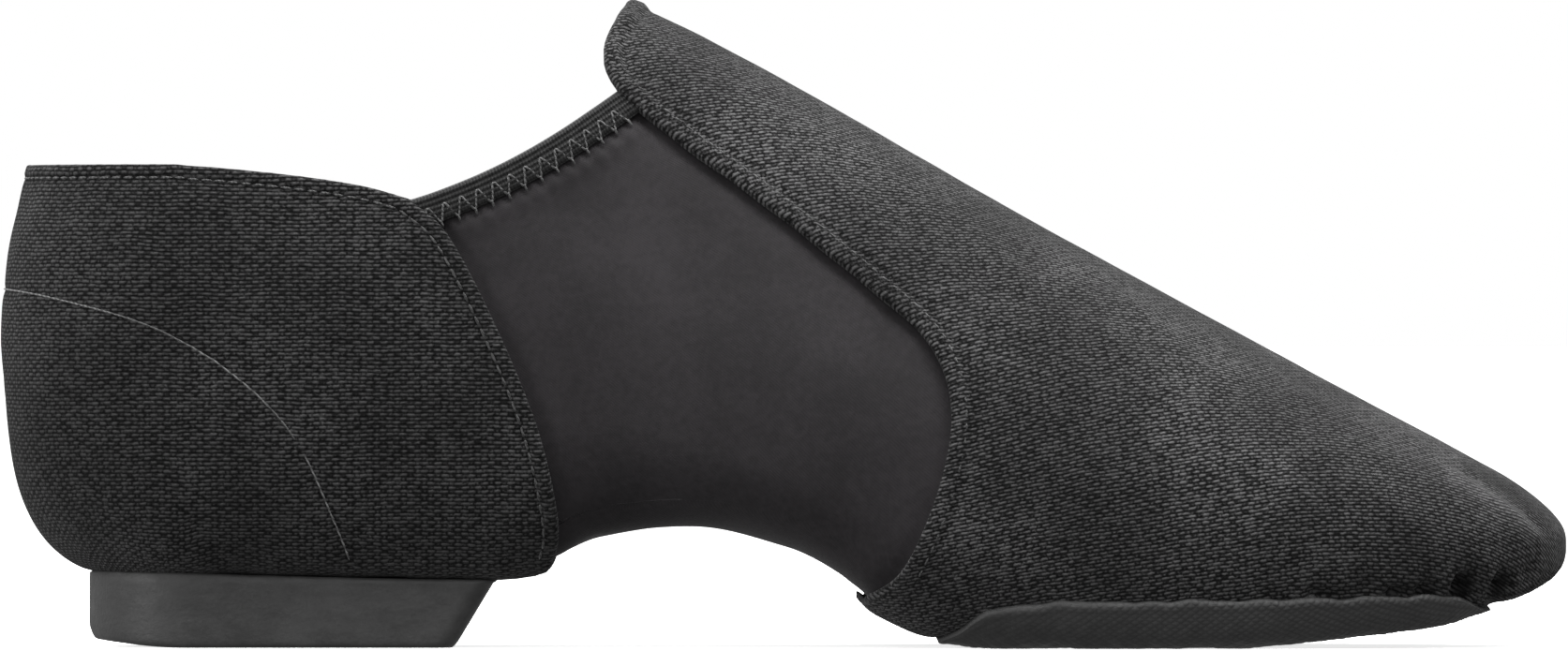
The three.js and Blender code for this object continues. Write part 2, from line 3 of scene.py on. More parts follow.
import bmesh
import bpy
import numpy as np
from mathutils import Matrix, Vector


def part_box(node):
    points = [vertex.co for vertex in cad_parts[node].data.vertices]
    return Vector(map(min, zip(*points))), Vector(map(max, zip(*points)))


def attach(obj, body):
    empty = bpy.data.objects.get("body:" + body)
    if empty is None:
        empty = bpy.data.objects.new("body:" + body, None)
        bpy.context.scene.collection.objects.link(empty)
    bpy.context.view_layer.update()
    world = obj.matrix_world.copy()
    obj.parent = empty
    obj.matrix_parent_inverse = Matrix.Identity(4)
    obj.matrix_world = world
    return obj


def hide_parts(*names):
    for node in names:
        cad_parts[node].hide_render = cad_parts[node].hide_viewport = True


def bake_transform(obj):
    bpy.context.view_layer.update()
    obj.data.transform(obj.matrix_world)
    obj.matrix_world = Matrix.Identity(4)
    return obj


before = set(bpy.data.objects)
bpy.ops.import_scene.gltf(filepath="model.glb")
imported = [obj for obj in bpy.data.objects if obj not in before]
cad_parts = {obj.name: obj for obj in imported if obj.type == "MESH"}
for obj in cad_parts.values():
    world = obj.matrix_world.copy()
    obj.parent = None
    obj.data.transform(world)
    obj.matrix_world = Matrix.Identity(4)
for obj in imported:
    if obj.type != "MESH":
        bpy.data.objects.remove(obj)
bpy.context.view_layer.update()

# Every size below is in millimetres: s runs forward from the back of the heel, y to the inner side
# and z up from the floor.
last = {
    "length": 250.0,
    "heelHeight": 12.4,
    "archHeight": 17.8,
    "soleTop": 1.8,
    "toeSpring": 5.2,
    "heelHalf": 30.0,
    "waistLateral": 31.5,
    "waistMedial": 28.5,
    "ballLateral": 41.5,
    "ballMedial": 44.5,
    "heelAxis": 30.0,  # upright axis of the heel's round
    "heelFlatBack": 13.0,
    "toeStart": 185.0,
    "toeCap": 238.0,
    "toePole": 16.5,
    "lowerPower": 2.2,
    "toePower": 2.7,
}
flatEnd, lowerEnd = 0.14, 0.45  # shares of a rib: flat underside, side below the widest line
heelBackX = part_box("vamp")[1].x - last["length"] / 1000


def toFrame(points):
    moved = np.asarray(points, float) / 1000
    moved[..., 0] += heelBackX
    return moved


def profile(points):
    s, v = np.array(points, float).T
    chord = np.diff(v) / np.diff(s)
    before, after = chord[:-1], chord[1:]
    same = before * after > 0
    middle = np.where(same, 2 * before * after / np.where(same, before + after, 1), 0)
    slope = np.concatenate([chord[:1], middle, chord[-1:]])

    def at(x):
        x = np.asarray(x, float)
        i = np.clip(np.searchsorted(s, x, side="right") - 1, 0, len(s) - 2)
        span = s[i + 1] - s[i]
        t = np.clip((x - s[i]) / span, 0, 1)
        bend = t * (1 - t) * ((1 - t) * slope[i] - t * slope[i + 1]) * span
        past = slope[0] * np.minimum(x - s[0], 0) + slope[-1] * np.maximum(x - s[-1], 0)
        return v[i] + (v[i + 1] - v[i]) * t * t * (3 - 2 * t) + bend + past

    return at


def mix(a, b, t):
    return a + (b - a) * t


def ramp(low, high, x):
    t = np.clip((np.asarray(x, float) - low) / (high - low), 0, 1)
    return t * t * (3 - 2 * t)


seat, arch, tread = last["heelHeight"], last["archHeight"], last["soleTop"]
underside = profile([
    (16, seat), (79, seat - 1.4), (85, seat - 0.9), (96, mix(seat, arch, 0.65)), (111, arch),
    (125, mix(tread, arch, 0.8)), (133, mix(tread, arch, 0.54)), (140, mix(tread, arch, 0.2)),
    (149, tread), (192, tread), (219, tread + 0.4 * last["toeSpring"]),
    (233, tread + 0.8 * last["toeSpring"]), (250, tread + 1.55 * last["toeSpring"]),
])
crest = profile([(30, 105), (65, 109), (88, 108), (100, 103), (104.6, 101.1), (172, 64), (240.6, 27.1)])
widestHeight = profile([(30, 46), (65, 43), (100, 36), (135, 26), (165, 19), (200, 16), (250, 16.5)])
lateralHalf = profile([
    (30, last["heelHalf"]), (65, mix(last["heelHalf"], last["waistLateral"], 0.3)),
    (95, last["waistLateral"]), (135, mix(last["waistLateral"], last["ballLateral"], 0.62)),
    (185, last["ballLateral"]), (250, last["ballLateral"]),
])
medialHalf = profile([
    (30, last["heelHalf"]), (65, mix(last["heelHalf"], last["waistMedial"], 0.9)),
    (100, last["waistMedial"]), (135, mix(last["waistMedial"], last["ballMedial"], 0.4)),
    (165, mix(last["waistMedial"], last["ballMedial"], 0.88)), (185, last["ballMedial"]),
    (250, last["ballMedial"]),
])
flatShare = profile([(30, 0.65), (79, 0.62), (110, 0.5), (145, 0.7), (185, 0.76), (250, 0.7)])


def roundedTip(s):
    t = np.clip((s - last["toeCap"]) / (last["length"] - last["toeCap"]), 0, 1)
    return (1 - t ** last["toePower"]) ** (1 / last["toePower"])


def topLine(s):
    return last["toePole"] + (crest(s) - last["toePole"]) * roundedTip(s)


def bottomLine(s):
    return last["toePole"] + (underside(s) - last["toePole"]) * roundedTip(s)


def steepness(line, s):
    at = np.minimum(s, last["length"] - 0.02)
    return np.abs(line(at + 0.01) - line(at - 0.01)) / 0.02


def squareInset(slope, depth, forward):
    return depth * (np.hypot(1, slope) - slope * forward)


# One rib of the last, sunk by depth. place runs from -1 at the back of the heel, through 0 at the
# heel axis and 1 at toeStart, to 2 at the tip of the toe. side is -1 lateral, 1 medial.
def ribAt(side, place, depth):
    side, place, depth = np.broadcast_arrays(*(np.asarray(v, float) for v in (side, place, depth)))
    angle = np.clip(place - 1, 0, 1) * math.pi / 2
    forward, narrowing = np.sin(angle), np.cos(angle)
    straight = mix(last["heelAxis"], last["toeStart"], np.clip(place, 0, 1))
    drawn = np.where(place <= 1, straight, mix(last["toeStart"], last["length"], forward))
    wide = np.where(side < 0, lateralHalf(drawn), medialHalf(drawn))
    turn = np.clip(-place, 0, 1) * math.pi / 2
    back, across = np.sin(turn), np.cos(turn)
    heelFlank = last["heelHalf"] * float(flatShare(last["heelAxis"]))
    flatFan = 1 / np.hypot(back / last["heelFlatBack"], across / heelFlank)
    wideFan = 1 / np.hypot(back / last["heelAxis"], across / last["heelHalf"])
    inHeel = place < 0
    return {
        "s": drawn - depth * forward,
        "back": back,
        "across": across,
        "low": bottomLine(drawn) + squareInset(steepness(bottomLine, drawn), depth, forward),
        "wideAt": widestHeight(drawn),
        "high": topLine(drawn) - squareInset(steepness(topLine, drawn), depth, forward),
        "flat": np.where(inHeel, flatFan - depth / 2, (wide * flatShare(drawn) - depth / 2) * narrowing),
        "wide": np.where(inHeel, wideFan - depth, (wide - depth) * narrowing),
    }


# A point on the last: turn runs up a rib from 0 in the middle of the underside to 1 on the crest.
def lastPoint(side, place, turn, depth):
    rib = ribAt(side, place, depth)
    power = 2 / last["lowerPower"]
    lower = np.clip((turn - flatEnd) / (lowerEnd - flatEnd), 0, 1) * math.pi / 2
    upper = np.clip((turn - lowerEnd) / (1 - lowerEnd), 0, 1) * math.pi / 2
    lowReach = rib["flat"] + (rib["wide"] - rib["flat"]) * np.sin(lower) ** power
    reach = np.where(turn < flatEnd, rib["flat"] * turn / flatEnd, lowReach)
    reach = np.where(turn < lowerEnd, reach, rib["wide"] * np.cos(upper))
    lowZ = rib["wideAt"] - (rib["wideAt"] - rib["low"]) * np.cos(lower) ** power
    z = np.where(turn < lowerEnd, lowZ, rib["wideAt"] + (rib["high"] - rib["wideAt"]) * np.sin(upper))
    return np.stack([rib["s"] - rib["back"] * reach, side * rib["across"] * reach, z], -1)


def turnOf(side, place, z, depth=0.0):
    rib = ribAt(side, place, depth)
    below = np.clip((rib["wideAt"] - z) / (rib["wideAt"] - rib["low"]), 0, 1)
    above = np.clip((z - rib["wideAt"]) / (rib["high"] - rib["wideAt"]), 0, 1)
    lower = np.arccos(below ** (last["lowerPower"] / 2)) * 2 / math.pi
    upper = np.arcsin(above) * 2 / math.pi
    return np.where(z < rib["wideAt"], mix(flatEnd, lowerEnd, lower), mix(lowerEnd, 1, upper))


def placeOf(s):
    s = np.asarray(s, float)
    inToe = np.clip((s - last["toeStart"]) / (last["length"] - last["toeStart"]), 0, 1)
    straight = (s - last["heelAxis"]) / (last["toeStart"] - last["heelAxis"])
    return np.where(s > last["toeStart"], 1 + np.arcsin(inToe) * 2 / math.pi, straight)


def onSide(side, s, z, depth):
    place = placeOf(s)
    return lastPoint(side, place, turnOf(side, place, z, depth), depth)


def smoothLine(points, steps):
    p = np.array(points, float)
    ends = np.vstack([2 * p[0] - p[1], p, 2 * p[-1] - p[-2]])
    out = []
    for k in range(1, len(ends) - 2):
        a, b, c, d = ends[k - 1:k + 3]
        for t in np.arange(steps) / steps:
            square, cube = 2 * a - 5 * b + 4 * c - d, 3 * b - a - 3 * c + d
            out.append((2 * b + (c - a) * t + square * t**2 + cube * t**3) / 2)
    return np.array(out + [p[-1]])


def movedLine(line, distance):
    way = np.gradient(line, axis=0)
    way /= np.linalg.norm(way, axis=1, keepdims=True)
    return line + distance * np.stack([-way[:, 1], way[:, 0]], 1)


# The line moved to the side on which its s (or z, with axis 1) grows, or falls where towards is -1
def rowAt(line, distance, towards, axis=0):
    moved = movedLine(line, distance)
    if (moved[:, axis].mean() - line[:, axis].mean()) * towards < 0:
        moved = movedLine(line, -distance)
    return moved


vampEdge = smoothLine([
    (99, 88.4), (107.6, 81.3), (122.5, 70.4), (137.5, 58.4), (148, 48.7), (151.5, 38), (149.5, 25.5),
    (143.8, 12), (138, 7.5),
], 8)
tongueEdge = smoothLine([(100.8, 103.6), (97.8, 99.5), (96.3, 95), (97, 91.5), (99, 88.4)], 6)
quarterEdge = smoothLine([
    (65.4, 71.6), (71.6, 65.9), (79.1, 51.7), (85.8, 35.2), (89.1, 20.2), (88.4, 13.5), (86, 11),
], 8)
heelTopline = smoothLine([(-4, 77.1), (25, 77.1), (42.8, 75.8), (57.2, 73.8), (65.4, 71.6)], 8)
stretchTopline = smoothLine([
    (60, 69.2), (64.4, 70.9), (68.5, 72.2), (75.2, 74.8), (82.1, 78.1), (89.6, 82.5), (98.6, 88.7),
    (105, 93.4),
], 8)
stretchTop = profile(stretchTopline[::4])
stretchEnds = (61.5, 104.5)
zigzagPitch = 2.8
counterEdge = smoothLine([
    (-2, 57.6), (9.4, 55.6), (25.2, 50.9), (38.6, 42.7), (47.6, 33), (53.6, 20.2), (56.2, 13.5),
], 8)
soleEdge = profile([
    (149, 1.5), (151.5, 2.4), (154.4, 4.3), (157.5, 5.7), (162, 6.6), (170.5, 7.1), (187, 7.4),
    (213.5, 7.8), (226, 8.1), (231, 7.9), (235, 7.4), (240, 6.6),
])


def runLength(points, axis):
    step = np.linalg.norm(np.diff(points, axis=axis), axis=-1)
    start = np.zeros_like(np.take(step, [0], axis=axis))
    return np.concatenate([start, np.cumsum(step, axis=axis)], axis=axis)


def ripple(points, size, seed, waves=14):
    rng = np.random.default_rng(seed)
    ways = rng.normal(size=(waves, 3))
    lengths = np.linalg.norm(ways, axis=1, keepdims=True)
    ways *= (2 * math.pi / size) * rng.uniform(0.6, 1.4, (waves, 1)) / lengths
    return np.sin(points @ ways.T + rng.uniform(0, 2 * math.pi, waves)).sum(-1) / math.sqrt(waves / 2)


def weld(piece):
    bm = bmesh.new()
    bm.from_mesh(piece.data)
    bmesh.ops.remove_doubles(bm, verts=bm.verts, dist=2e-6)
    bmesh.ops.dissolve_degenerate(bm, edges=bm.edges, dist=1e-7)
    bmesh.ops.recalc_face_normals(bm, faces=bm.faces)
    bm.to_mesh(piece.data)
    bm.free()


def addObject(name, data):
    made = bpy.data.objects.new(name, data)
    bpy.context.scene.collection.objects.link(made)
    return made


def smoothShaded(mesh):
    mesh.polygons.foreach_set("use_smooth", [True] * len(mesh.polygons))


def makePiece(name, vertices, faces, coords):
    mesh = bpy.data.meshes.new(name)
    mesh.from_pydata(toFrame(vertices).tolist(), [], [list(face) for face in faces])
    layer = mesh.uv_layers.new(name="UVMap")
    corner = np.zeros(len(mesh.loops), np.int32)
    mesh.loops.foreach_get("vertex_index", corner)
    layer.data.foreach_set("uv", coords[corner].astype(np.float32).ravel())
    piece = addObject(name, mesh)
    weld(piece)
    smoothShaded(piece.data)
    return piece


def quads(number):
    corners = number[:-1, :-1], number[1:, :-1], number[1:, 1:], number[:-1, 1:]
    return np.stack(corners, -1).reshape(-1, 4)


# Vertex numbers of a stack of closed rings, and the quads between the rings
def ringQuads(count, around):
    number = np.arange(count * around).reshape(count, around)
    return number, quads(np.concatenate([number, number[:, :1]], 1))


# Two faces of a sheet on the same grid, joined by rims round every border that doesn't close.
def sheetPiece(name, outer, inner, uv, rimAlong=(True, True), rimAround=(True, True)):
    ni, nj = outer.shape[:2]
    top = np.arange(ni * nj).reshape(ni, nj)
    under = top + ni * nj
    faces = [quads(top), quads(under)[:, ::-1]]
    borders = [(top[k], under[k]) for k, rim in zip((0, -1), rimAlong) if rim]
    borders += [(top[:, k], under[:, k]) for k, rim in zip((0, -1), rimAround) if rim]
    for a, b in borders:
        faces.append(np.stack([a[:-1], a[1:], b[1:], b[:-1]], -1))
    vertices = np.vstack([outer.reshape(-1, 3), inner.reshape(-1, 3)])
    return makePiece(name, vertices, np.vstack(faces).tolist(), np.vstack([uv.reshape(-1, 2)] * 2))


def crowded(count, low=0.0, high=0.0, reach=0.05):
    t = np.linspace(0, 1, 400)
    density = 1 + low * np.exp(-t / reach) + high * np.exp(-(1 - t) / reach)
    run = np.concatenate([[0], np.cumsum((density[1:] + density[:-1]) / 2)])
    return np.interp(np.linspace(0, 1, count), run / run[-1], t)


# Curves on the last are rows of (place, turn with its side's sign).
def traced(side, line):
    place = placeOf(line[:, 0])
    return np.stack([place, side * turnOf(side, place, line[:, 1])], 1)


def surface(grid, depth):
    side = np.where(grid[..., 1] < 0, -1.0, 1.0)
    return lastPoint(side, grid[..., 0], np.abs(grid[..., 1]), depth)


def evenly(curve, steps):
    run = runLength(surface(curve, 0.0), 0)
    return np.stack([np.interp(steps * run[-1], run, curve[:, k]) for k in (0, 1)], 1)


def patch(left, right, bottom, top, u, v):
    left, right = evenly(left, v)[None], evenly(right, v)[None]
    bottom, top = evenly(bottom, u)[:, None], evenly(top, u)[:, None]
    a, b = u[:, None, None], v[None, :, None]
    corners = mix(mix(left[:, :1], left[:, -1:], b), mix(right[:, :1], right[:, -1:], b), a)
    return (1 - a) * left + a * right + (1 - b) * bottom + b * top - corners


def nearest(points, curve):
    flat = points.reshape(-1, 3)
    run = runLength(curve, 0)
    distance, at = np.empty(len(flat)), np.empty(len(flat))
    for k in range(0, len(flat), 4000):
        gap = np.linalg.norm(flat[k:k + 4000, None] - curve[None], axis=-1)
        best = gap.argmin(1)
        distance[k:k + 4000] = gap[np.arange(len(best)), best]
        at[k:k + 4000] = run[best]
    return distance.reshape(points.shape[:-1]), at.reshape(points.shape[:-1])


def rolled(distance, radius):
    return 1 - np.sqrt(1 - (1 - np.clip(distance / radius, 0, 1)) ** 2)


def hump(distance, width):
    return np.exp(-((distance / width) ** 2))


def fineCurve(curve):
    return surface(evenly(curve, np.linspace(0, 1, 700)), 0.0)


# Round the back of the heel: level with the line's start, or falling along the line
def heelFan(side, count, line, falling=False):
    back = np.linspace(-1, 0, count)[:-1]
    reach = last["heelAxis"] - 29 * np.sin(-back * math.pi / 2)
    heights = np.interp(reach, line[:, 0], line[:, 1]) if falling else line[0, 1]
    return np.stack([back, side * turnOf(side, back, heights)], 1)


def bothRuns(points):
    return np.stack([runLength(points, 0), runLength(points, 1)], -1)


# Shader maths: a value socket that takes ordinary operators
class Value:
    def __init__(self, owner, output):
        self.owner = owner
        self.output = output

    def __add__(self, other):
        return self.owner.maths("ADD", self, other)

    def __sub__(self, other):
        return self.owner.maths("SUBTRACT", self, other)

    def __rsub__(self, other):
        return self.owner.maths("SUBTRACT", other, self)

    def __mul__(self, other):
        return self.owner.maths("MULTIPLY", self, other)

    __radd__ = __add__
    __rmul__ = __mul__


# Nodes of a material, of the room's light or of a geometry tree
class NodeTree:
    def __init__(self, tree):
        self.tree = tree

    def node(self, kind, settings=None, sockets=None):
        made = self.tree.nodes.new(kind)
        for key, value in (settings or {}).items():
            if key == "stops":
                elements = made.color_ramp.elements
                for k, (where, level) in enumerate(value):
                    stop = elements[k] if k < 2 else elements.new(where)
                    stop.position, stop.color = where, (level, level, level, 1)
            else:
                setattr(made, key, value)
        for key, value in (sockets or {}).items():
            self.feed(made.inputs[key], value)
        return made

    def first(self, kind, settings=None, sockets=None):
        return self.node(kind, settings, sockets).outputs[0]

    def feed(self, socket, value):
        if isinstance(value, Value):
            value = value.output
        if isinstance(value, bpy.types.NodeSocket):
            self.tree.links.new(value, socket)
        else:
            socket.default_value = value

    def maths(self, operation, *values):
        settings = {"operation": operation}
        return Value(self, self.first("ShaderNodeMath", settings, dict(enumerate(values))))

    def split(self, vector):
        made = self.node("ShaderNodeSeparateXYZ", {}, {0: vector})
        return [Value(self, made.outputs[axis]) for axis in "XYZ"]


class Shader(NodeTree):
    def __init__(self, name):
        self.material = bpy.data.materials.new(name)
        self.material.use_nodes = True
        super().__init__(self.material.node_tree)
        self.tree.nodes.clear()

    def sine(self, value):
        return self.maths("SINE", value)

    def ridges(self, phase):
        return self.sine(phase) * 0.5 + 0.5

    def noise(self, vector, scale, detail=2.0, roughness=0.5):
        made = self.node("ShaderNodeTexNoise", {}, {
            "Vector": vector, "Scale": scale, "Detail": detail, "Roughness": roughness})
        return Value(self, made.outputs["Fac"])

    def steps(self, value, low, high, start=0.0, end=1.0):
        made = self.node("ShaderNodeMapRange", {"interpolation_type": "SMOOTHSTEP"}, {
            "Value": value, "From Min": low, "From Max": high, "To Min": start, "To Max": end})
        return Value(self, made.outputs["Result"])

    def blendColour(self, factor, first, second):
        made = self.node("ShaderNodeMix", {"data_type": "RGBA"}, {0: factor, 6: first, 7: second})
        return made.outputs[2]

    def bump(self, height, distance, strength=1.0):
        return self.first("ShaderNodeBump", {}, {
            "Height": height, "Distance": distance, "Strength": strength})

    def objectPoint(self):
        return self.node("ShaderNodeTexCoord").outputs["Object"]

    def onCloth(self, turn=0.0):
        uv = self.node("ShaderNodeUVMap", {"uv_map": "UVMap"}).outputs["UV"]
        moved = self.first("ShaderNodeMapping", {}, {"Vector": uv, "Rotation": (0, 0, turn)})
        return self.split(moved)[:2]

    def finish(self, colour, roughness, constants):
        skin = self.first("ShaderNodeBsdfPrincipled", {}, {
            "Base Color": colour, "Roughness": roughness, **constants})
        self.node("ShaderNodeOutputMaterial", {}, {"Surface": skin})
        return self.material


def grey(value, tint=(1, 1, 1)):
    return (value * tint[0], value * tint[1], value * tint[2], 1)


# Plain weave: raised where one yarn passes over the other. Wear lightens the crowns.
def canvasMaterial(name, yarn, dark, light, dustAndPaintedHighlight, turn=0.0, tint=(1, 0.99, 1.0)):
    made = Shader(name)
    x, y = made.onCloth(turn)
    place = made.objectPoint()
    drift = made.noise(place, 160, 3)
    slub = made.noise(place, 850, 3, 0.6)
    hairs = made.noise(place, 3200, 2)
    warpWave = made.sine((x + drift * 0.9) * (math.pi / yarn[0]))
    weftWave = made.sine((y + drift * 0.7) * (math.pi / yarn[1]))
    crossing = warpWave * weftWave
    weft = made.maths("ABSOLUTE", weftWave) * 0.5 - crossing * 0.5
    height = made.maths("MAXIMUM", crossing * 0.5, weft)
    worn = made.steps(made.noise(place, 45, 4, 0.6), 0.35, 0.7)
    crown = made.steps(height + (slub - 0.5) * 1.4 + (hairs - 0.5) * 1.1, 0.1, 0.9)
    cloth = made.blendColour(crown, grey(dark, tint), grey(light, tint))
    lifted = made.blendColour(crown * worn * 0.45, cloth, grey(dustAndPaintedHighlight, tint))
    # The kept per-point attribute of the vamp lightens the cloth along the toe crease, partly wear and
    # partly painted highlight, and darkens it with painted shade beside the crease and in the tucks
    foldWearAndPaintedShading = Value(made, made.node("ShaderNodeAttribute", {"attribute_name": "foldWearAndPaintedShading"}).outputs["Fac"])
    lifted = made.blendColour(made.maths("MAXIMUM", foldWearAndPaintedShading, 0) * 0.3, lifted, grey(dustAndPaintedHighlight, tint))
    lifted = made.blendColour(made.maths("MAXIMUM", foldWearAndPaintedShading * -0.85, 0), lifted, grey(dark * 0.6, tint))
    return made.finish(lifted, made.steps(crown, 0, 1, 0.95, 0.78), {
        "Normal": made.bump(height + slub * 0.8 + hairs * 0.2, 0.00028), "Sheen Weight": 0.06,
        "Sheen Roughness": 0.4, "Specular IOR Level": 0.08})


def smoothClothMaterial(name, dark, light, tint, grain, relief, rough, sheen, turn=0.0):
    made = Shader(name)
    x, y = made.onCloth(turn)
    place = made.objectPoint()
    fine = made.noise(place, 2600, 2)
    cloudy = made.noise(place, 60, 3, 0.55)
    rows, cross = (made.ridges(way * (2 * math.pi / grain)) for way in (x, y))
    height = rows * cross * 0.6 + fine * 0.7
    mottled = made.noise(place, 900, 3, 0.6)
    shade = made.steps(cloudy * 0.4 + mottled * 0.35 + fine * 0.25, 0.36, 0.64)
    colour = made.blendColour(shade, grey(dark, tint), grey(light, tint))
    roughness = made.steps(fine, 0.3, 0.7, rough - 0.08, rough + 0.08)
    return made.finish(colour, roughness, {
        "Normal": made.bump(height, relief, 0.8), "Sheen Weight": sheen, "Sheen Roughness": 0.4,
        "Specular IOR Level": 0.15})


def elasticMaterial(name, dark, light, rib, loop):
    made = Shader(name)
    x, y = made.onCloth()
    cord = made.ridges(y * (2 * math.pi / rib) + 1.6)
    knit = made.ridges(x * (2 * math.pi / loop))
    fuzz = made.noise(made.objectPoint(), 1800, 2)
    crown = made.steps(cord * 0.6 + knit * cord * 0.4 + (fuzz - 0.5) * 0.5, 0.2, 0.9)
    colour = made.blendColour(crown, grey(dark), grey(light))
    return made.finish(colour, made.steps(crown, 0, 1, 0.8, 0.6), {
        "Normal": made.bump(cord * 0.6 + knit * 0.5 + fuzz * 0.3, 0.0002), "Sheen Weight": 0.06,
        "Specular IOR Level": 0.18})


plyPitch = 0.0006


def threadMaterial(name, dark, light, patches=0):
    made = Shader(name)
    place = made.objectPoint()
    x, _, z = made.split(place)
    ply = made.ridges((x + z * 0.8) * (2 * math.pi / plyPitch))
    fuzz = made.noise(place, 2400, 2)
    colour = made.blendColour(made.steps(ply * 0.6 + fuzz * 0.4, 0.25, 0.8), grey(dark), grey(light))
    if patches:  # rubbed bare in places, dark with dye elsewhere
        rubbed = made.steps(made.noise(place, patches, 3), 0.42, 0.6)
        colour = made.blendColour(rubbed, grey(dark), colour)
    return made.finish(colour, made.steps(fuzz, 0.3, 0.7, 0.5, 0.7), {
        "Normal": made.bump(ply + fuzz * 0.4, 0.00008), "Sheen Weight": 0.2, "Specular IOR Level": 0.4})


def rubberMaterial(name, dark, light, speckle, relief, rough, diamond=0.0):
    made = Shader(name)
    place = made.objectPoint()
    pores = made.noise(place, speckle, 3, 0.6)
    scuffs = made.noise(place, 90, 4, 0.65)
    streaks = made.first("ShaderNodeMapping", {}, {"Vector": place, "Scale": (1, 1, 2.5)})
    drawnMarks = made.noise(streaks, 220, 3, 0.6)
    shade = made.steps(scuffs * 0.5 + drawnMarks * 0.3 + pores * 0.2, 0.35, 0.66)
    colour = made.blendColour(shade, grey(dark), grey(light))
    height = pores * 0.6 + drawnMarks * 0.4
    if diamond:
        x, y, z = made.split(place)
        aside = made.maths("ABSOLUTE", y) + z
        one, two = (made.sine((x + aside * way) * (math.pi / diamond)) for way in (1, -1))
        toeward = made.steps(x, 0.10, 0.17, 0.25, 1.0)
        lozenge = made.maths("ABSOLUTE", one * two) * toeward
        height = height + lozenge
        colour = made.blendColour(lozenge * 0.7 + toeward * 0.2, colour, grey(light * 1.6))
    roughness = made.steps(scuffs, 0.3, 0.7, rough - 0.1, rough + 0.12)
    return made.finish(colour, roughness, {
        "Normal": made.bump(height, relief), "Specular IOR Level": 0.4})


# Materials. Albedo is given as linear grey: dark in the gaps, light on the crowns.
materials = {
    "canvas": canvasMaterial("charcoalCanvas", (1.0, 0.62), 0.004, 0.039, 0.11, -math.radians(33.6)),
    "heelCanvas": canvasMaterial("charcoalCanvasHeel", (1.08, 0.64), 0.0035, 0.031, 0.07),
    "neoprene": smoothClothMaterial(
        "stretchNeoprene", 0.009, 0.017, (1.07, 0.96, 1.05), 0.34, 0.00004, 0.72, 0.05, 0.5),
    "elastic": elasticMaterial("ribbedElastic", 0.003, 0.031, 0.85, 0.55),
    "thread": threadMaterial("blackThread", 0.012, 0.05),
    "paleThread": threadMaterial("wornThread", 0.03, 0.12, 45),
    "edgeThread": threadMaterial("edgeThread", 0.006, 0.03),
    "zigzagThread": threadMaterial("zigzagThread", 0.02, 0.075),
    "lining": smoothClothMaterial("cottonLining", 0.012, 0.03, (1, 1, 1), 0.7, 0.00012, 0.85, 0.3),
    "sock": smoothClothMaterial("sockFelt", 0.02, 0.045, (1, 1, 1), 0.9, 0.0002, 0.9, 0.35),
    "heelRubber": rubberMaterial("heelRubber", 0.015, 0.033, 1500, 0.00014, 0.62),
    "soleRubber": rubberMaterial("soleRubber", 0.010, 0.022, 1900, 0.00012, 0.66, 0.0016),
    "board": smoothClothMaterial("fibreBoard", 0.16, 0.24, (1, 0.86, 0.66), 1.4, 0.0002, 0.85, 0.1),
    "foam": smoothClothMaterial("cushionFoam", 0.2, 0.3, (1, 0.95, 0.85), 0.8, 0.0003, 0.9, 0.1),
    "stiffener": smoothClothMaterial("counterBoard", 0.05, 0.09, (1, 0.95, 0.9), 1.2, 0.0002, 0.8, 0.1),
}


def dress(piece, material, node):
    piece.data.materials.clear()
    piece.data.materials.append(materials[material])
    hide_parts(node)


# Two points on slanting planes across the stretch arch. flexing() turns them into the scene frame but only
# bakes the piece's transform; nothing here makes the arch bend.
flex = {"start": (80.0, 42.1), "end": (112.3, 55.5)}


def flexing(piece):
    start, end = (tuple(toFrame([s, 0.0, z]).tolist()) for s, z in (flex["start"], flex["end"]))
    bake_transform(piece)


sides = {"lateral": -1, "medial": 1}

# Rear edge of the vamp and its tongue, from the crest down to the middle of the underside
throatLine = np.vstack([tongueEdge[:-1], vampEdge])
underLine = [[float(placeOf(137.0)), 0.08], [float(placeOf(136.5)), 0.0]]


def rearEdge(side, line, under):
    drawn = traced(side, line)
    return np.vstack([drawn, np.array(under) * [1, side]])


def bothSides(maker):
    return np.vstack([maker(-1), maker(1)[::-1][1:]])


vampSettings = {
    "thickness": 1.2,
    "foldHeight": 0.45,  # swell of the turned edge
    "foldWidth": 3.0,
    "pucker": 0.16,
    "puckerPitch": 2.3,
    "lipHeight": 0.85,  # padded lip of the tongue
    "seamDip": 0.22,  # hollow just past the turned edge
    "slack": 0.2,  # soft unevenness of the cloth
    "lastingPitch": 4.6,  # small folds round the toe
    "creaseValley": 0.5,
    "creaseRidge": 0.7,
    "instepSlope": 28.6,  # degrees
    "along": 200,
    "around": 225,
    "crease": [(232.0, 27.2), (234.7, 25.9), (239.0, 23.2), (241.8, 21.0), (244.6, 18.1)],
}


crestPlaces = np.linspace(0, 2, 400)
crestLine = lastPoint(1.0, crestPlaces, np.ones(400), 0.0)


# Weave of the vamp: distance along the instep and distance round from the crest
def vampCloth(base, grid):
    slope = math.radians(vampSettings["instepSlope"])
    along = base[..., 0] * math.cos(slope) - base[..., 2] * math.sin(slope)
    crestAlong = crestLine[:, 0] * math.cos(slope) - crestLine[:, 2] * math.sin(slope)
    crestAt = np.interp(grid[..., 0], crestPlaces, runLength(crestLine, 0) - crestAlong)
    step = np.diff(base, axis=1)
    width = np.hypot(step[..., 1], step[..., 0] * math.sin(slope) + step[..., 2] * math.cos(slope))
    run = np.concatenate([np.zeros((len(base), 1)), np.cumsum(width, axis=1)], 1)
    lateral = grid[..., 1] < 0
    return np.stack([along + crestAt, np.where(lateral, -run, run[:, -1:] - run)], -1)


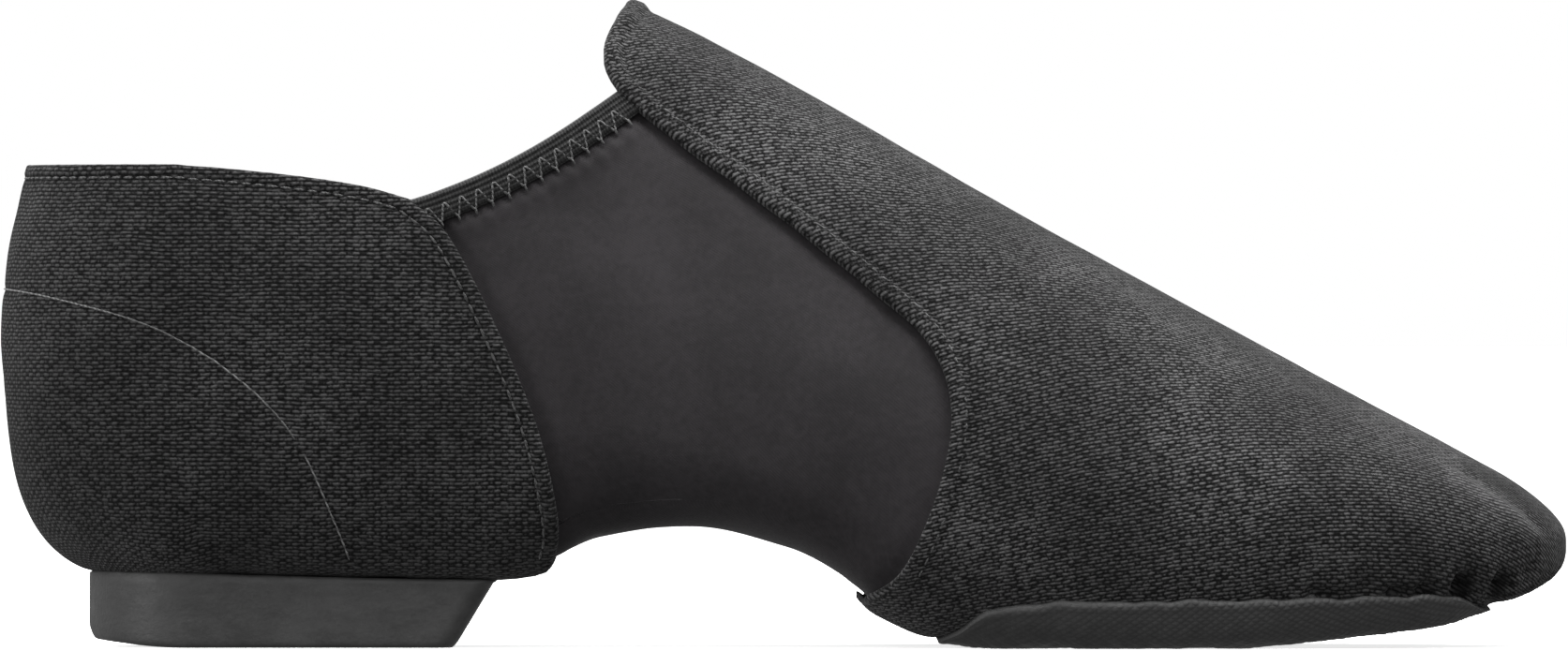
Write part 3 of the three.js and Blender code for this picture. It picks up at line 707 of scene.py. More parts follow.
# Where the cloth was lasted over the toe it tucks in; s, z, along, upward and depth of each tuck
pleatPlaces = [
    (232.4, 9.6, 1.7, 2.1, 3.4), (238.6, 9.9, 1.6, 1.9, 3.2), (209.5, 9.0, 3.4, 0.7, 0.9),
    (221.8, 9.0, 2.6, 0.8, 1.3), (226.4, 9.2, 1.6, 1.2, 1.1), (216.4, 10.0, 1.6, 1.4, 0.5),
    (243.4, 12.4, 1.2, 1.8, 0.7),
]


def toPattern(piece):
    spots = np.empty(3 * len(piece.data.vertices))
    piece.data.vertices.foreach_get("co", spots)
    return (spots.reshape(-1, 3) - [heelBackX, 0, 0]) * 1000


def toePleats(base):
    depth = np.zeros(base.shape[:-1])
    for s, z, wide, high, deep in pleatPlaces:
        lean = base[..., 0] - s - 0.4 * (base[..., 2] - z)
        level = hump((base[..., 2] - z) / high, 1)
        depth += deep * level * hump(np.where(lean < 0, lean * 1.8, lean) / wide, 1)
    return depth


def vampPiece():
    size = vampSettings
    edge = bothSides(lambda side: rearEdge(side, throatLine, underLine))
    u = 1 - (1 - crowded(size["along"], low=4, reach=0.03)) ** 1.2
    v = np.linspace(0, 1, size["around"])
    start = evenly(edge, v)
    share = u[:, None]
    even = np.sign(v - 0.5) * np.abs(2 * v - 1) ** 0.92
    turned = mix(start[None, :, 1], even[None, :], ramp(0, 0.45, share))
    grid = np.stack([mix(start[None, :, 0], 2.0, share ** 0.93), turned], -1)
    grid[:, 0, 1], grid[:, -1, 1] = -1, 1
    base = surface(grid, 0.0)
    distance, run = nearest(base, fineCurve(edge))
    tongue = ramp(84, 92, base[..., 2]) * ramp(112, 104, base[..., 0])
    upper = ramp(9, 20, base[..., 2])
    # The turned edge swells, and gathers a little where it was sewn
    fold = 1 - ramp(size["foldWidth"] - 1.0, size["foldWidth"] + 0.5, distance)
    swell = mix(size["foldHeight"], size["lipHeight"], tongue) * upper
    depth = -swell * fold * (0.8 + 0.2 * np.sin(run * 0.7))
    phase = 2 * math.pi * (run + 0.5 * ripple(base, 14, 3)) / size["puckerPitch"]
    depth += size["pucker"] * np.sin(phase) * hump(distance - 2.6, 1.7) * upper
    pastFold = hump(distance - size["foldWidth"] - 0.6, 0.7)
    depth += size["seamDip"] * pastFold * upper * (1 - 0.5 * tongue)
    # Cloth over the instep lies in soft, slanting folds
    calm = ramp(0, 12, distance) * ramp(250, 240, base[..., 0])
    slanted = base @ np.array([[1.0, 0, 0.2], [0, 0.5, 0], [0.6, 0, 1.0]])
    offRidge = 1 - 0.8 * ramp(0.8, 0.97, np.abs(grid[..., 1]))
    depth += size["slack"] * ripple(slanted, 38, 5) * calm * ramp(14, 30, base[..., 2]) * offRidge
    depth += 0.09 * ripple(base, 9, 11) * calm * offRidge
    # Small lasting folds run up from the sole round the toe
    lasting = ramp(185, 225, base[..., 0]) * hump(base[..., 2] - 9.5, 4.0)
    around = runLength(base, 0)
    folds = np.sin(2 * math.pi * around / size["lastingPitch"] + 2.2 * ripple(base, 22, 7))
    depth += 0.16 * lasting * folds
    pleats = toePleats(base)
    depth += pleats
    # One crease crosses the top of the toe
    line = smoothLine(size["crease"], 10)
    crest3d = [onSide(one, line[:, 0], line[:, 1], 0.0) for one in (-1, 1)]
    across = [nearest(base, one)[0] for one in crest3d]
    gap = np.minimum(*across)
    depth -= size["creaseValley"] * hump(gap, 1.5)
    above = np.minimum(*[nearest(base, one + [1.1, 0, 1.9])[0] for one in crest3d])
    depth += size["creaseRidge"] * hump(above, 1.5)
    rim = rolled(distance, 0.9)
    middle = size["thickness"] / 2
    outer = surface(grid, mix(depth, middle - swell * 0.4, rim))
    inner = surface(grid, mix(size["thickness"] + pleats, middle - swell * 0.4, rim * 0.9))
    uv = vampCloth(base, grid)
    for rows in (outer, inner, uv):  # one smooth crown where the two sides meet
        rows[:, 0] = rows[:, -1] = (rows[:, 1] + rows[:, -2]) / 2
    outer[:, [0, -1], 1] = inner[:, [0, -1], 1] = 0
    piece = sheetPiece("vamp_canvas", outer, inner, uv, (True, False), (False, False))
    # Pale along the toe crease, partly wear and partly a painted highlight; painted shade in a band just
    # ahead of and above the crease, and down in the tucks
    spots = toPattern(piece)
    foldWearAndPaintedShading = 0.0
    for amount, moved in ((0.8, line), (-0.7, line + [1.7, 1.4])):
        gap = nearest(spots * [1, 0, 1], np.insert(moved, 1, 0, axis=1))[0]
        foldWearAndPaintedShading = foldWearAndPaintedShading + amount * hump(gap, 1.3)
    foldWearAndPaintedShading -= np.clip(toePleats(spots) / 1.9, 0, 1)
    kept = piece.data.attributes.new("foldWearAndPaintedShading", "FLOAT", "POINT")
    kept.data.foreach_set("value", foldWearAndPaintedShading.astype(np.float32))
    dress(piece, "canvas", "vamp")
    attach(piece, "forefoot")


vampPiece()
print("vamp made")

quarterSettings = {
    "thickness": 1.2,
    "foldHeight": 0.3,
    "foldWidth": 1.7,
    "backSeam": 0.45,
    "along": 120,
    "upward": 110,
    "stitchInset": 2.4,
    "stitchSpacing": 2.1,
}


def quarterPatch(side, u, v, front=quarterEdge, lowest=0.01, ease=0.0):
    front = traced(side, front)[::-1]
    front = np.vstack([[front[0, 0], side * lowest], front])
    line = heelTopline - [0, ease]
    backTurn = float(turnOf(-1, -1.0, line[0, 1]))
    top = np.vstack([heelFan(side, 30, line), traced(side, line[line[:, 0] >= 30])])
    top[-1] = front[-1]
    left = np.stack([np.full(40, -1.0), side * np.linspace(lowest, backTurn, 40)], 1)
    floor = np.linspace(-1, front[0, 0], 60)
    bottom = np.stack([floor, np.full(60, side * lowest)], 1)
    return patch(left, front, bottom, top, u, v), front, top


# Weave of the heel: round the widest line, and upright above the bend under the foot
def heelCloth(base, grid, bendHeight=22):
    along = runLength(surface(np.stack([grid[..., 0], np.full_like(grid[..., 1], lowerEnd)], -1), 0.0), 0)
    run, z = runLength(base, 1), base[..., 2]
    bend = np.array([np.interp(bendHeight, *column) for column in zip(z, run)])[:, None]
    return np.stack([along, np.where(z > bendHeight, z, bendHeight + run - bend)], -1)


def quarterPiece(name, side):
    size = quarterSettings
    u = crowded(size["along"], low=1.5, high=4, reach=0.03)
    v = crowded(size["upward"], high=5, reach=0.03)
    grid, front, top = quarterPatch(side, u, v)
    base = surface(grid, 0.0)
    border = np.vstack([fineCurve(top), fineCurve(front)[::-1]])
    distance, run = nearest(base, border)
    high = ramp(14, 22, base[..., 2])
    fold = 1 - ramp(size["foldWidth"], size["foldWidth"] + 0.9, distance)
    depth = -size["foldHeight"] * fold * high
    # The stitches pull the cloth down in a shallow dimpled channel
    pull = hump(distance - size["stitchInset"], 0.55) * high
    depth += pull * (0.2 + 0.1 * np.sin(2 * math.pi * run / size["stitchSpacing"]))
    depth += 0.13 * ripple(base, 26, 21 + side) * ramp(0, 8, distance)
    depth += 0.05 * ripple(base, 8, 25 + side) * ramp(0, 5, distance)
    counter = counterCurve[side]
    gap, along = nearest(base, counter)
    dimples = np.sin(2 * math.pi * along / size["stitchSpacing"])
    depth += hump(gap, 0.6) * (0.22 + 0.08 * dimples)
    inside = base[..., 2] < np.interp(base[..., 0], counterEdge[:, 0], counterEdge[:, 1])
    depth -= 0.18 * inside * ramp(0, 2.5, gap)
    back = runLength(base, 0)
    depth += size["backSeam"] * hump(back, 0.5) - 0.15 * hump(back - 1.6, 1.0)
    depth += 0.2 * hump(back - 3.4, 0.4) * high
    rim = rolled(distance, 0.8)
    middle = size["thickness"] / 2
    outer = surface(grid, mix(depth, middle, rim))
    inner = surface(grid, mix(np.full_like(depth, size["thickness"]), middle, rim * 0.9))
    outer[0, :, 1] = inner[0, :, 1] = 0
    piece = sheetPiece(name, outer, inner, heelCloth(base, grid) * [side, 1])
    dress(piece, "heelCanvas", name)
    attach(piece, "heel")


counterSide = counterEdge[counterEdge[:, 0] >= 30]
counterCurve = {}
for side in (-1, 1):
    fan = heelFan(side, 24, counterEdge, falling=True)
    counterCurve[side] = fineCurve(np.vstack([fan, traced(side, counterSide)]))
for label, side in sides.items():
    quarterPiece(f"heel_quarter_{label}", side)
print("heel quarters made")

gussetSettings = {
    "outerDepth": 1.5,
    "innerDepth": 3.3,
    "overlap": 6.5,
    "topDrop": 1.6,  # how far the fold of the binding stands above it
    "along": 100,
    "around": 261,
}


def gussetPiece():
    size = gussetSettings
    rear = rowAt(quarterEdge, size["overlap"], -1)
    front = rowAt(vampEdge[vampEdge[:, 1] < 88], size["overlap"], 1)
    sheetSides = []
    for edge, end, floor in ((rear, stretchEnds[0], (78.0, 78.0)), (front, stretchEnds[1], (146.0, 146.5))):
        top = float(stretchTop(end))
        edge = np.vstack([[end, top - size["topDrop"]], edge[edge[:, 1] < top - 6]])
        under = [[float(placeOf(floor[0])), 0.08], [float(placeOf(floor[1])), 0.0]]
        sheetSides.append(bothSides(lambda side: rearEdge(side, edge, under)))
    s = np.linspace(*stretchEnds, 50)
    line = np.stack([s, stretchTop(s) - size["topDrop"]], 1)
    u, v = np.linspace(0, 1, size["along"]), crowded(size["around"], 2, 2, 0.04)
    tops = [traced(side, line) for side in (-1, 1)]
    grid = patch(*sheetSides, *tops, u, v)
    base = surface(grid, 0.0)
    (gap, run), (gapM, runM) = (nearest(base, fineCurve(top)) for top in tops)
    near, along = np.minimum(gap, gapM), np.where(gap < gapM, run, runM)
    depth = np.full(near.shape, size["outerDepth"])
    # Each stitch of the binding draws the cloth in
    stitch = np.cos(2 * math.pi * along / zigzagPitch)
    depth += 0.28 * hump(near - 3.4, 1.1) * (0.6 + 0.4 * stitch)
    depth += 0.10 * stitch * hump(near - 5.0, 1.6)
    seams = (bothSides(lambda side: rearEdge(side, vampEdge, underLine)),
             bothSides(lambda side: traced(side, quarterEdge)))
    edge = np.minimum(*(nearest(base, fineCurve(seam))[0] for seam in seams))
    depth += 0.3 * hump(edge, 1.6)
    slack = ripple(base @ np.array([[1, 0, 0], [0, 0.4, 0], [0.4, 0, 1]]), 48, 31)
    depth += 0.35 * slack * ramp(2, 14, near) * ramp(1, 9, edge)
    depth -= 0.4 * hump(near - 4.6, 2.2) * ramp(0.5, 2.5, edge)
    outer = surface(grid, depth)
    inner = surface(grid, np.full(near.shape, size["innerDepth"]))
    piece = sheetPiece("arch_gusset_stretch", outer, inner, bothRuns(base))
    dress(piece, "neoprene", "arch_gusset")
    flexing(piece)


gussetPiece()
print("stretch arch made")

bindingSettings = {
    "width": 4.8,
    "crown": 0.45,  # height of the rounded fold
    "outer": 0.25,
    "inner": 4.55,
    "ribs": 0.15,
    "ribPitch": 0.85,
    "slot": 3.45,  # the stretch cloth lies in the fold, between these two depths
    "slotOuter": 1.4,
    "slotTop": (1.6, 1.5),
    "stations": 210,
}


def bindingPiece(name, side):
    size = bindingSettings
    s = np.linspace(*stretchEnds, size["stations"])
    line = np.stack([s, stretchTop(s)], 1)
    crown = size["crown"]
    reach = np.linspace(size["width"], crown, 44)
    ribs = size["ribs"] * np.sin(2 * math.pi * reach / size["ribPitch"]) * ramp(size["width"], 3.9, reach)
    hem = 0.55 * ramp(3.7, size["width"], reach)
    bow = np.linspace(0, math.pi, 15)
    middle, half = (size["outer"] + size["inner"]) / 2, (size["inner"] - size["outer"]) / 2
    profileDown = np.concatenate([
        [size["width"]], reach, crown - crown * np.sin(bow[1:-1]), reach[::-1], [size["width"]],
        [size["width"]], size["slotTop"], [size["width"]]])
    profileDepth = np.concatenate([
        [size["outer"] + 0.9], size["outer"] + ribs + hem, middle - half * np.cos(bow[1:-1]),
        size["inner"] - ribs[::-1] * 0.4, [size["inner"] - 0.4],
        [size["slot"]] * 2, [size["slotOuter"]] * 2])
    run = runLength(onSide(side, line[:, 0], line[:, 1], 0.0), 0)[:, None]
    flat = np.stack([rowAt(line, down, -1, axis=1) for down in profileDown], 1)
    outerFace = profileDepth[None] < 1.3
    bite = 0.22 * hump(profileDown[None] - 4.0, 0.8) + 0.12 * hump(profileDown[None] - 1.9, 0.5)
    stitched = outerFace * bite * (0.55 + 0.45 * np.cos(2 * math.pi * run / zigzagPitch))
    depth = profileDepth[None] + stitched + 0.06 * np.sin(run * 1.3 + profileDown[None]) * outerFace
    points = onSide(side, flat[..., 0], flat[..., 1], depth)
    number, faces = ringQuads(*points.shape[:2])
    faces = faces.tolist() + number[[0, -1]].tolist()
    uv = np.stack(np.broadcast_arrays(run, profileDown[None]), -1)
    piece = makePiece(f"{name}_ribbed", points.reshape(-1, 3), faces, uv.reshape(-1, 2))
    dress(piece, "elastic", name)
    flexing(piece)


for label, side in sides.items():
    bindingPiece(f"elastic_binding_{label}", side)
print("elastic bindings made")

liningSettings = {
    "thickness": 0.8,
    "setback": 0.9,
    "topDepth": 1.35,  # the lining meets the canvas at the top, outside the counter below
    "depth": 3.9,
    "frontDepth": 4.75,  # it passes inside the end of the binding
    "vampDepth": 1.55,
    "vampSetback": 1.2,
    "along": 90,
    "upward": 70,
}


def heelLining():
    size = liningSettings
    u, v = crowded(size["along"], high=2), crowded(size["upward"], high=3)
    grids, depths = [], []
    for side in (-1, 1):
        grid = quarterPatch(side, u, v, quarterEdge - [1.5, 0], 0.145, size["setback"])[0]
        base = surface(grid, 0.0)
        below = heelTopline[0, 1] - base[..., 2]
        depth = mix(size["topDepth"], size["depth"], ramp(0, 13, below))
        depth = mix(depth, size["frontDepth"], ramp(50, 60, base[..., 0]) * ramp(40, 55, base[..., 2]))
        grids.append(grid)
        depths.append(depth + 0.12 * ripple(base, 30, 41) * ramp(0, 10, below))
    grid, depth = (np.concatenate([first[::-1], second[1:]]) for first, second in (grids, depths))
    side = np.concatenate([np.full(size["along"], -1.0), np.full(size["along"] - 1, 1.0)])[:, None]
    turn = np.abs(grid[..., 1])
    outer, inner = (lastPoint(side, grid[..., 0], turn, d) for d in (depth, depth + size["thickness"]))
    run = runLength(outer, 0)
    piece = sheetPiece("heel_lining_cloth", outer, inner, np.stack([run, outer[..., 2]], -1))
    dress(piece, "lining", "heel_lining")
    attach(piece, "heel")


def vampLining():
    size = liningSettings
    line = rowAt(throatLine, size["vampSetback"], 1)
    place = float(placeOf(139))
    edge = bothSides(lambda side: rearEdge(side, line, [[place, 0.1], [place, 0.0]]))
    u, v = crowded(70, low=2), np.linspace(0, 1, 161)
    start = evenly(edge, v)
    turned = mix(start[None, :, 1], np.linspace(-1, 1, 161)[None], ramp(0, 0.45, u[:, None]))
    grid = np.stack([mix(start[None, :, 0], 2.0, u[:, None]), turned], -1)
    grid[:, 0, 1], grid[:, -1, 1] = -1, 1
    depth = size["vampDepth"] + toePleats(surface(grid, 0.0))
    outer, inner = surface(grid, depth), surface(grid, depth + size["thickness"])
    piece = sheetPiece("vamp_lining_cloth", outer, inner, bothRuns(outer), (True, False), (False, False))
    dress(piece, "lining", "vamp_lining")
    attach(piece, "forefoot")


heelLining()
vampLining()
print("linings made")

insoleSettings = {
    "wallDepth": 4.7,  # inner face of the lining
    "sock": {"low": 6.1, "high": 7.3, "start": 0.0, "end": 230.0, "swell": 0.2},
    "heelPad": {"low": 3.3, "high": 5.8, "start": 0.0, "end": 76.5, "swell": 0.25},
    "forefootPad": {"low": 3.3, "high": 5.8, "start": 150.5, "end": 230.0, "swell": 0.25},
}


# A layer of the insole between two heights, with its long edges tucked along the lining
def insolePiece(name, node, part, material, ease):
    size = insoleSettings[part]
    first = -1.0 if size["start"] < 1 else float(placeOf(size["start"]))
    place = np.linspace(first, float(placeOf(size["end"])), 150 if part == "sock" else 90)
    across = np.sin(np.linspace(-1, 1, 57) * math.pi / 2)

    def face(height, inset):
        rows = []
        for side in (-1, 1):
            rib = ribAt(side, place, insoleSettings["wallDepth"] + ease)
            outline = rib["flat"] + (rib["wide"] - rib["flat"]) * 0.62 - inset
            reach = np.maximum(outline, 0)[:, None] * np.abs(across[across * side > 0])[None]
            z = ribAt(side, place, height)["low"][:, None] + 0 * reach
            s, y = rib["s"][:, None] - rib["back"][:, None] * reach, side * rib["across"][:, None] * reach
            rows.append(np.stack([s, y, z], -1))
        s = ribAt(1, place, insoleSettings["wallDepth"])["s"]
        centre = np.stack([s, 0 * place, ribAt(1, place, height)["low"]], -1)
        return np.concatenate([rows[0], centre[:, None], rows[1]], 1)

    upper, lower = face(size["high"], 0.0), face(size["low"], 0.0)
    rimGap = (1 - np.abs(across)) * 28
    rounding = 0.45 * rolled(rimGap, 1.2)[None, :]
    worn = size["swell"] * ripple(upper, 30, 51)
    upper[..., 2] += worn - rounding - 0.2
    lower[..., 2] += rounding * 0.6
    uv = np.stack([runLength(upper, 0), upper[..., 1]], -1)
    piece = sheetPiece(name, upper, lower, uv)
    dress(piece, material, node)
    return piece


flexing(insolePiece("sock_liner_cloth", "sock_liner", "sock", "sock", 0.4))
for name, node, part, body in (
    ("heel_cushion_pad", "heel_cushion", "heelPad", "heel"),
    ("forefoot_cushion_pad", "forefoot_cushion", "forefootPad", "forefoot"),
):
    pad = insolePiece(name, node, part, "foam", 1.2)
    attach(pad, body)
print("insole layers made")

soleSettings = {
    "thickness": 1.5,
    "edge": 0.55,
    "clear": 0.3,
    "rear": 149.3,
    "noseStart": 231.5,
    "front": 237.2,
    "along": 200,
    "across": 121,
    "diamond": 3.2,
}


def solePiece():
    size = soleSettings
    u, v = crowded(size["along"], 2, 3, 0.04), crowded(size["across"], 5, 5, 0.04)
    s = mix(size["rear"], size["front"], u)
    limit = []
    along = s[:, None] * [1, 0, 0]
    for side in (-1, 1):
        frayed = 0.16 * ripple(along, 5.5, 61 + side) + 0.07 * ripple(along, 1.6, 65 + side)
        turn = turnOf(side, placeOf(s), soleEdge(s) + frayed, -0.6)
        toTip = np.clip((s - size["noseStart"]) / (size["front"] - size["noseStart"]), 0, 1)
        nose = np.sqrt(np.clip(1 - toTip ** 3, 0, 1))
        heelward = 1 - 0.3 * rolled(s - size["rear"], 7)
        share, window = np.linspace(0, 1, 800), np.hanning(25)
        even = np.interp(share, u, turn * nose * heelward)
        soft = np.convolve(np.pad(even, 12, mode="edge"), window / window.sum(), "valid")
        limit.append(np.where(u < 1, np.interp(u, share, soft) * (nose > 0), 0))
    sigma = mix(-limit[0][:, None], limit[1][:, None], v[None])
    grid = np.stack([np.broadcast_to(placeOf(s)[:, None], sigma.shape), sigma], -1)
    base = surface(grid, 0.0)
    fine = surface(grid, -0.5)
    border = np.concatenate([fine[:, 0], fine[::-1, -1], fine[0][::-1]])
    distance = nearest(fine, border)[0]
    one, two = (np.sin((base[..., 0] + way * base[..., 1]) * math.pi / size["diamond"]) for way in (1, -1))
    grooves = np.abs(one * two) ** 0.6
    below = ramp(5.5, 3.5, base[..., 2] - underside(base[..., 0])) * ramp(1.5, 4, distance)
    bulk = size["edge"] + (size["thickness"] - size["edge"]) * ramp(0, 7, distance)
    proud = size["clear"] + bulk
    depth = -proud + 0.16 * below * (1 - grooves) + 0.07 * ripple(base, 7, 67)
    depth -= 0.10 * hump(distance - 0.9, 0.5)
    rim = rolled(distance, 0.5)
    outer = surface(grid, mix(depth, -size["clear"] - 0.1, rim))
    outer[..., 2] = np.maximum(outer[..., 2], 0)
    inner = surface(grid, np.full(depth.shape, -0.02))
    piece = sheetPiece("forefoot_sole_patch", outer, inner, base[..., :2], (True, False))
    dress(piece, "soleRubber", "forefoot_sole")
    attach(piece, "forefoot")


solePiece()

heelSettings = {
    "height": 11.5,
    "topLevel": 12.0,
    "flare": 1.3,  # the tread curls up at the back
    "ledge": 3.0,
    "back": 12.5,
    "front": 79.3,
    "treadStart": 15.2,
    "treadEnd": 72.4,
    "corner": 3.2,
    "sideTaper": 0.9,
    "levels": [(0.0, 0.8), (0.08, 0.42), (0.28, 0.16), (0.6, 0.03), (1.2, 0.0)],
}


def heelBlock():
    size = heelSettings
    heights = [level for level, _ in size["levels"]] + list(np.linspace(2.6, 10.2, 9))
    heights += [11.2, size["topLevel"]]
    insets = [inset for _, inset in size["levels"]] + [0.0] * 9 + [0.05, 0.6]
    fan = np.linspace(math.pi / 2, 0, 34)[:-1]
    flank = last["heelHalf"] * float(flatShare(last["heelAxis"]))
    footprint = 1 / np.hypot(np.sin(fan) / last["heelFlatBack"], np.cos(fan) / flank)
    rings = []
    for height, inset in zip(heights, insets):
        share = height / size["height"]
        front = mix(size["treadEnd"], size["front"], share) - inset * 0.5
        backShift = mix(size["treadStart"], size["back"], ramp(-0.6, 0.35, share)) - size["back"]
        reach = footprint + size["ledge"] - inset
        heelRound = np.stack([last["heelAxis"] - (reach - backShift * np.sin(fan)) * np.sin(fan),
                              reach * np.cos(fan)], 1)
        taper = size["sideTaper"] * (1 - share)
        s = np.linspace(last["heelAxis"], front - size["corner"], 40)
        halves = []
        for side in (-1, 1):
            half = (lateralHalf if side < 0 else medialHalf)(s) * flatShare(s) + size["ledge"] - inset
            corner = np.linspace(0, math.pi / 2, 9)[1:]
            turnIn = np.stack([s[-1] + size["corner"] * np.sin(corner),
                               half[-1] - size["corner"] * (1 - np.cos(corner))], 1)
            outline = np.vstack([heelRound, np.stack([s, half], 1), turnIn])
            outline[:, 1] = np.maximum(outline[:, 1] - taper * (outline[:, 1] > 3), 0) * side
            halves.append(outline)
        loop = np.vstack([halves[0][::-1], halves[1][1:]])
        top = underside(np.maximum(loop[:, 0], 17)) - 0.12
        z = np.minimum(height, top) if height < 11 else top - (size["topLevel"] - height) * 0.5
        loop = np.column_stack([loop, np.broadcast_to(z, len(loop))])
        loop[:, 2] += size["flare"] * ramp(32, 12, loop[:, 0]) ** 1.5 * (1 - ramp(0, 4, height))
        rings.append(loop)
    grid = np.stack(rings)
    ends = grid[[0, -1]]
    lids = ends * [1, 0, 1]
    halfway = mix(lids, ends, 0.5)
    grid = np.concatenate([lids[:1], halfway[:1], grid, halfway[1:], lids[1:]])
    faces = ringQuads(*grid.shape[:2])[1][:, [0, 3, 2, 1]].tolist()
    vertices = grid.reshape(-1, 3)
    piece = makePiece("heel_block_rubber", vertices, faces, vertices[:, :2])
    dress(piece, "heelRubber", "heel_block")
    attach(piece, "heel")


heelBlock()
print("soles made")


# Geometry Nodes trees for the threads
class GeometryTree(NodeTree):
    def __init__(self, name, inputs):
        super().__init__(bpy.data.node_groups.new(name, "GeometryNodeTree"))
        self.identifiers = {}
        for label, kind in {"Geometry": "Geometry", **inputs, "Thread": "Material"}.items():
            made = self.tree.interface.new_socket(label, in_out="INPUT", socket_type=f"NodeSocket{kind}")
            self.identifiers[label] = made.identifier
        self.tree.interface.new_socket("Geometry", in_out="OUTPUT", socket_type="NodeSocketGeometry")
        self.entry = self.node("NodeGroupInput").outputs

    def spaced(self, mode, label, amount):
        curve = self.first("GeometryNodeMeshToCurve", {}, {"Mesh": self.entry["Geometry"]})
        return self.first("GeometryNodeResampleCurve", {"mode": mode}, {"Curve": curve, label: amount})

    def kept(self, name):
        return self.first("GeometryNodeInputNamedAttribute", {"data_type": "FLOAT_VECTOR"}, {"Name": name})

    def vector(self, x, y, z):
        return self.first("ShaderNodeCombineXYZ", {}, {"X": x, "Y": y, "Z": z})

    def facing(self, axis, vector, sockets=None, pivot="AUTO"):
        return self.first("FunctionNodeAlignRotationToVector", {"axis": axis, "pivot_axis": pivot}, {
            "Vector": vector, **(sockets or {})})

    def balls(self, points, rotation, scale, sockets=None):
        ball = self.first("GeometryNodeMeshUVSphere", {}, {"Segments": 8, "Rings": 6, "Radius": 0.5})
        return self.first("GeometryNodeInstanceOnPoints", {}, {
            "Points": points, "Instance": ball, "Rotation": rotation, "Scale": scale, **(sockets or {})})

    def end(self, *geometry):
        joined = self.node("GeometryNodeJoinGeometry")
        for one in geometry:
            self.feed(joined.inputs[0], one)
        realised = self.first("GeometryNodeRealizeInstances", {}, {"Geometry": joined.outputs[0]})
        coloured = self.first("GeometryNodeSetMaterial", {}, {
            "Geometry": realised, "Material": self.entry["Thread"]})
        self.node("NodeGroupOutput", {}, {0: coloured})


def stitchTree():
    tree = GeometryTree("runningStitches", {
        "Pitch": "Float", "Length": "Float", "Width": "Float", "Unevenness": "Float", "Seed": "Int"})
    spaced = tree.spaced("LENGTH", "Length", tree.entry["Pitch"])
    lying = tree.facing("X", tree.first("GeometryNodeInputTangent"))
    upright = tree.facing("Z", tree.kept("outward"), {"Rotation": lying}, "X")
    jitter = tree.node("FunctionNodeRandomValue", {"data_type": "FLOAT"}, {
        "Seed": tree.entry["Seed"]}).outputs[1]
    spread = tree.maths("MULTIPLY_ADD", jitter, tree.entry["Unevenness"], 1.0)
    length, width = spread * tree.entry["Length"], tree.entry["Width"]
    tree.end(tree.balls(spaced, upright, tree.vector(length, width, width)))
    return tree


# A round thread that swings from side to side, tied along the upper turns
def zigzagTree():
    tree = GeometryTree("zigzagStitches", {"Crossings": "Int", "Width": "Float"})
    spaced = tree.spaced("COUNT", "Count", tree.entry["Crossings"])
    odd = tree.maths("MODULO", tree.first("GeometryNodeInputIndex"), 2.0)
    swing = tree.maths("MULTIPLY_ADD", odd, 2.0, -1.0)
    across, width = tree.kept("across"), tree.entry["Width"]
    offset = tree.first("ShaderNodeVectorMath", {"operation": "SCALE"}, {0: across, 3: swing})
    moved = tree.first("GeometryNodeSetPosition", {}, {"Geometry": spaced, "Offset": offset})
    rounded = tree.first("GeometryNodeFilletCurve", {"mode": "POLY"}, {
        "Curve": moved, "Count": 2, "Radius": 0.00022})
    ring = tree.first("GeometryNodeCurvePrimitiveCircle", {}, {"Resolution": 6, "Radius": 0.5})
    sized = tree.first("GeometryNodeTransform", {}, {
        "Geometry": ring, "Scale": tree.vector(width, width, width)})
    tube = tree.first("GeometryNodeCurveToMesh", {}, {
        "Curve": rounded, "Profile Curve": sized, "Fill Caps": True})
    stub = tree.vector(0.0013, width, width)
    lower = tree.maths("LESS_THAN", odd, 0.5)
    tree.end(tube, tree.balls(moved, tree.facing("X", across), stub, {"Selection": lower}))
    return tree


# A guide of joined runs of points, with a vector kept at each point, goes through the tree
def threadPiece(name, runs, attribute, tree, values, material, node):
    vertices, edges, vectors = [], [], []
    for points, directions in runs:
        start = len(vertices)
        vertices += toFrame(points).tolist()
        vectors += directions.tolist()
        edges += [(start + k, start + k + 1) for k in range(len(points) - 1)]
    mesh = bpy.data.meshes.new(name)
    mesh.from_pydata(vertices, edges, [])
    kept = mesh.attributes.new(attribute, "FLOAT_VECTOR", "POINT")
    kept.data.foreach_set("vector", np.array(vectors, np.float32).ravel())
    guide = addObject(name, mesh)
    modifier = guide.modifiers.new("thread", "NODES")
    modifier.node_group = tree.tree
    for label, value in {**values, "Thread": materials[material]}.items():
        modifier[tree.identifiers[label]] = value
    evaluated = guide.evaluated_get(bpy.context.evaluated_depsgraph_get())
    plain = bpy.data.meshes.new_from_object(evaluated)
    plain.name = name
    guide.modifiers.remove(modifier)
    piece = addObject(f"{name}_thread", plain)
    bpy.data.objects.remove(guide)
    smoothShaded(plain)
    dress(piece, material, node)
    return piece


# A row on the skin with its outward directions
def onSkin(grid, depth):
    points = surface(grid, depth)
    outward = surface(grid, depth - 1.0) - points
    return points, outward / np.linalg.norm(outward, axis=1, keepdims=True)


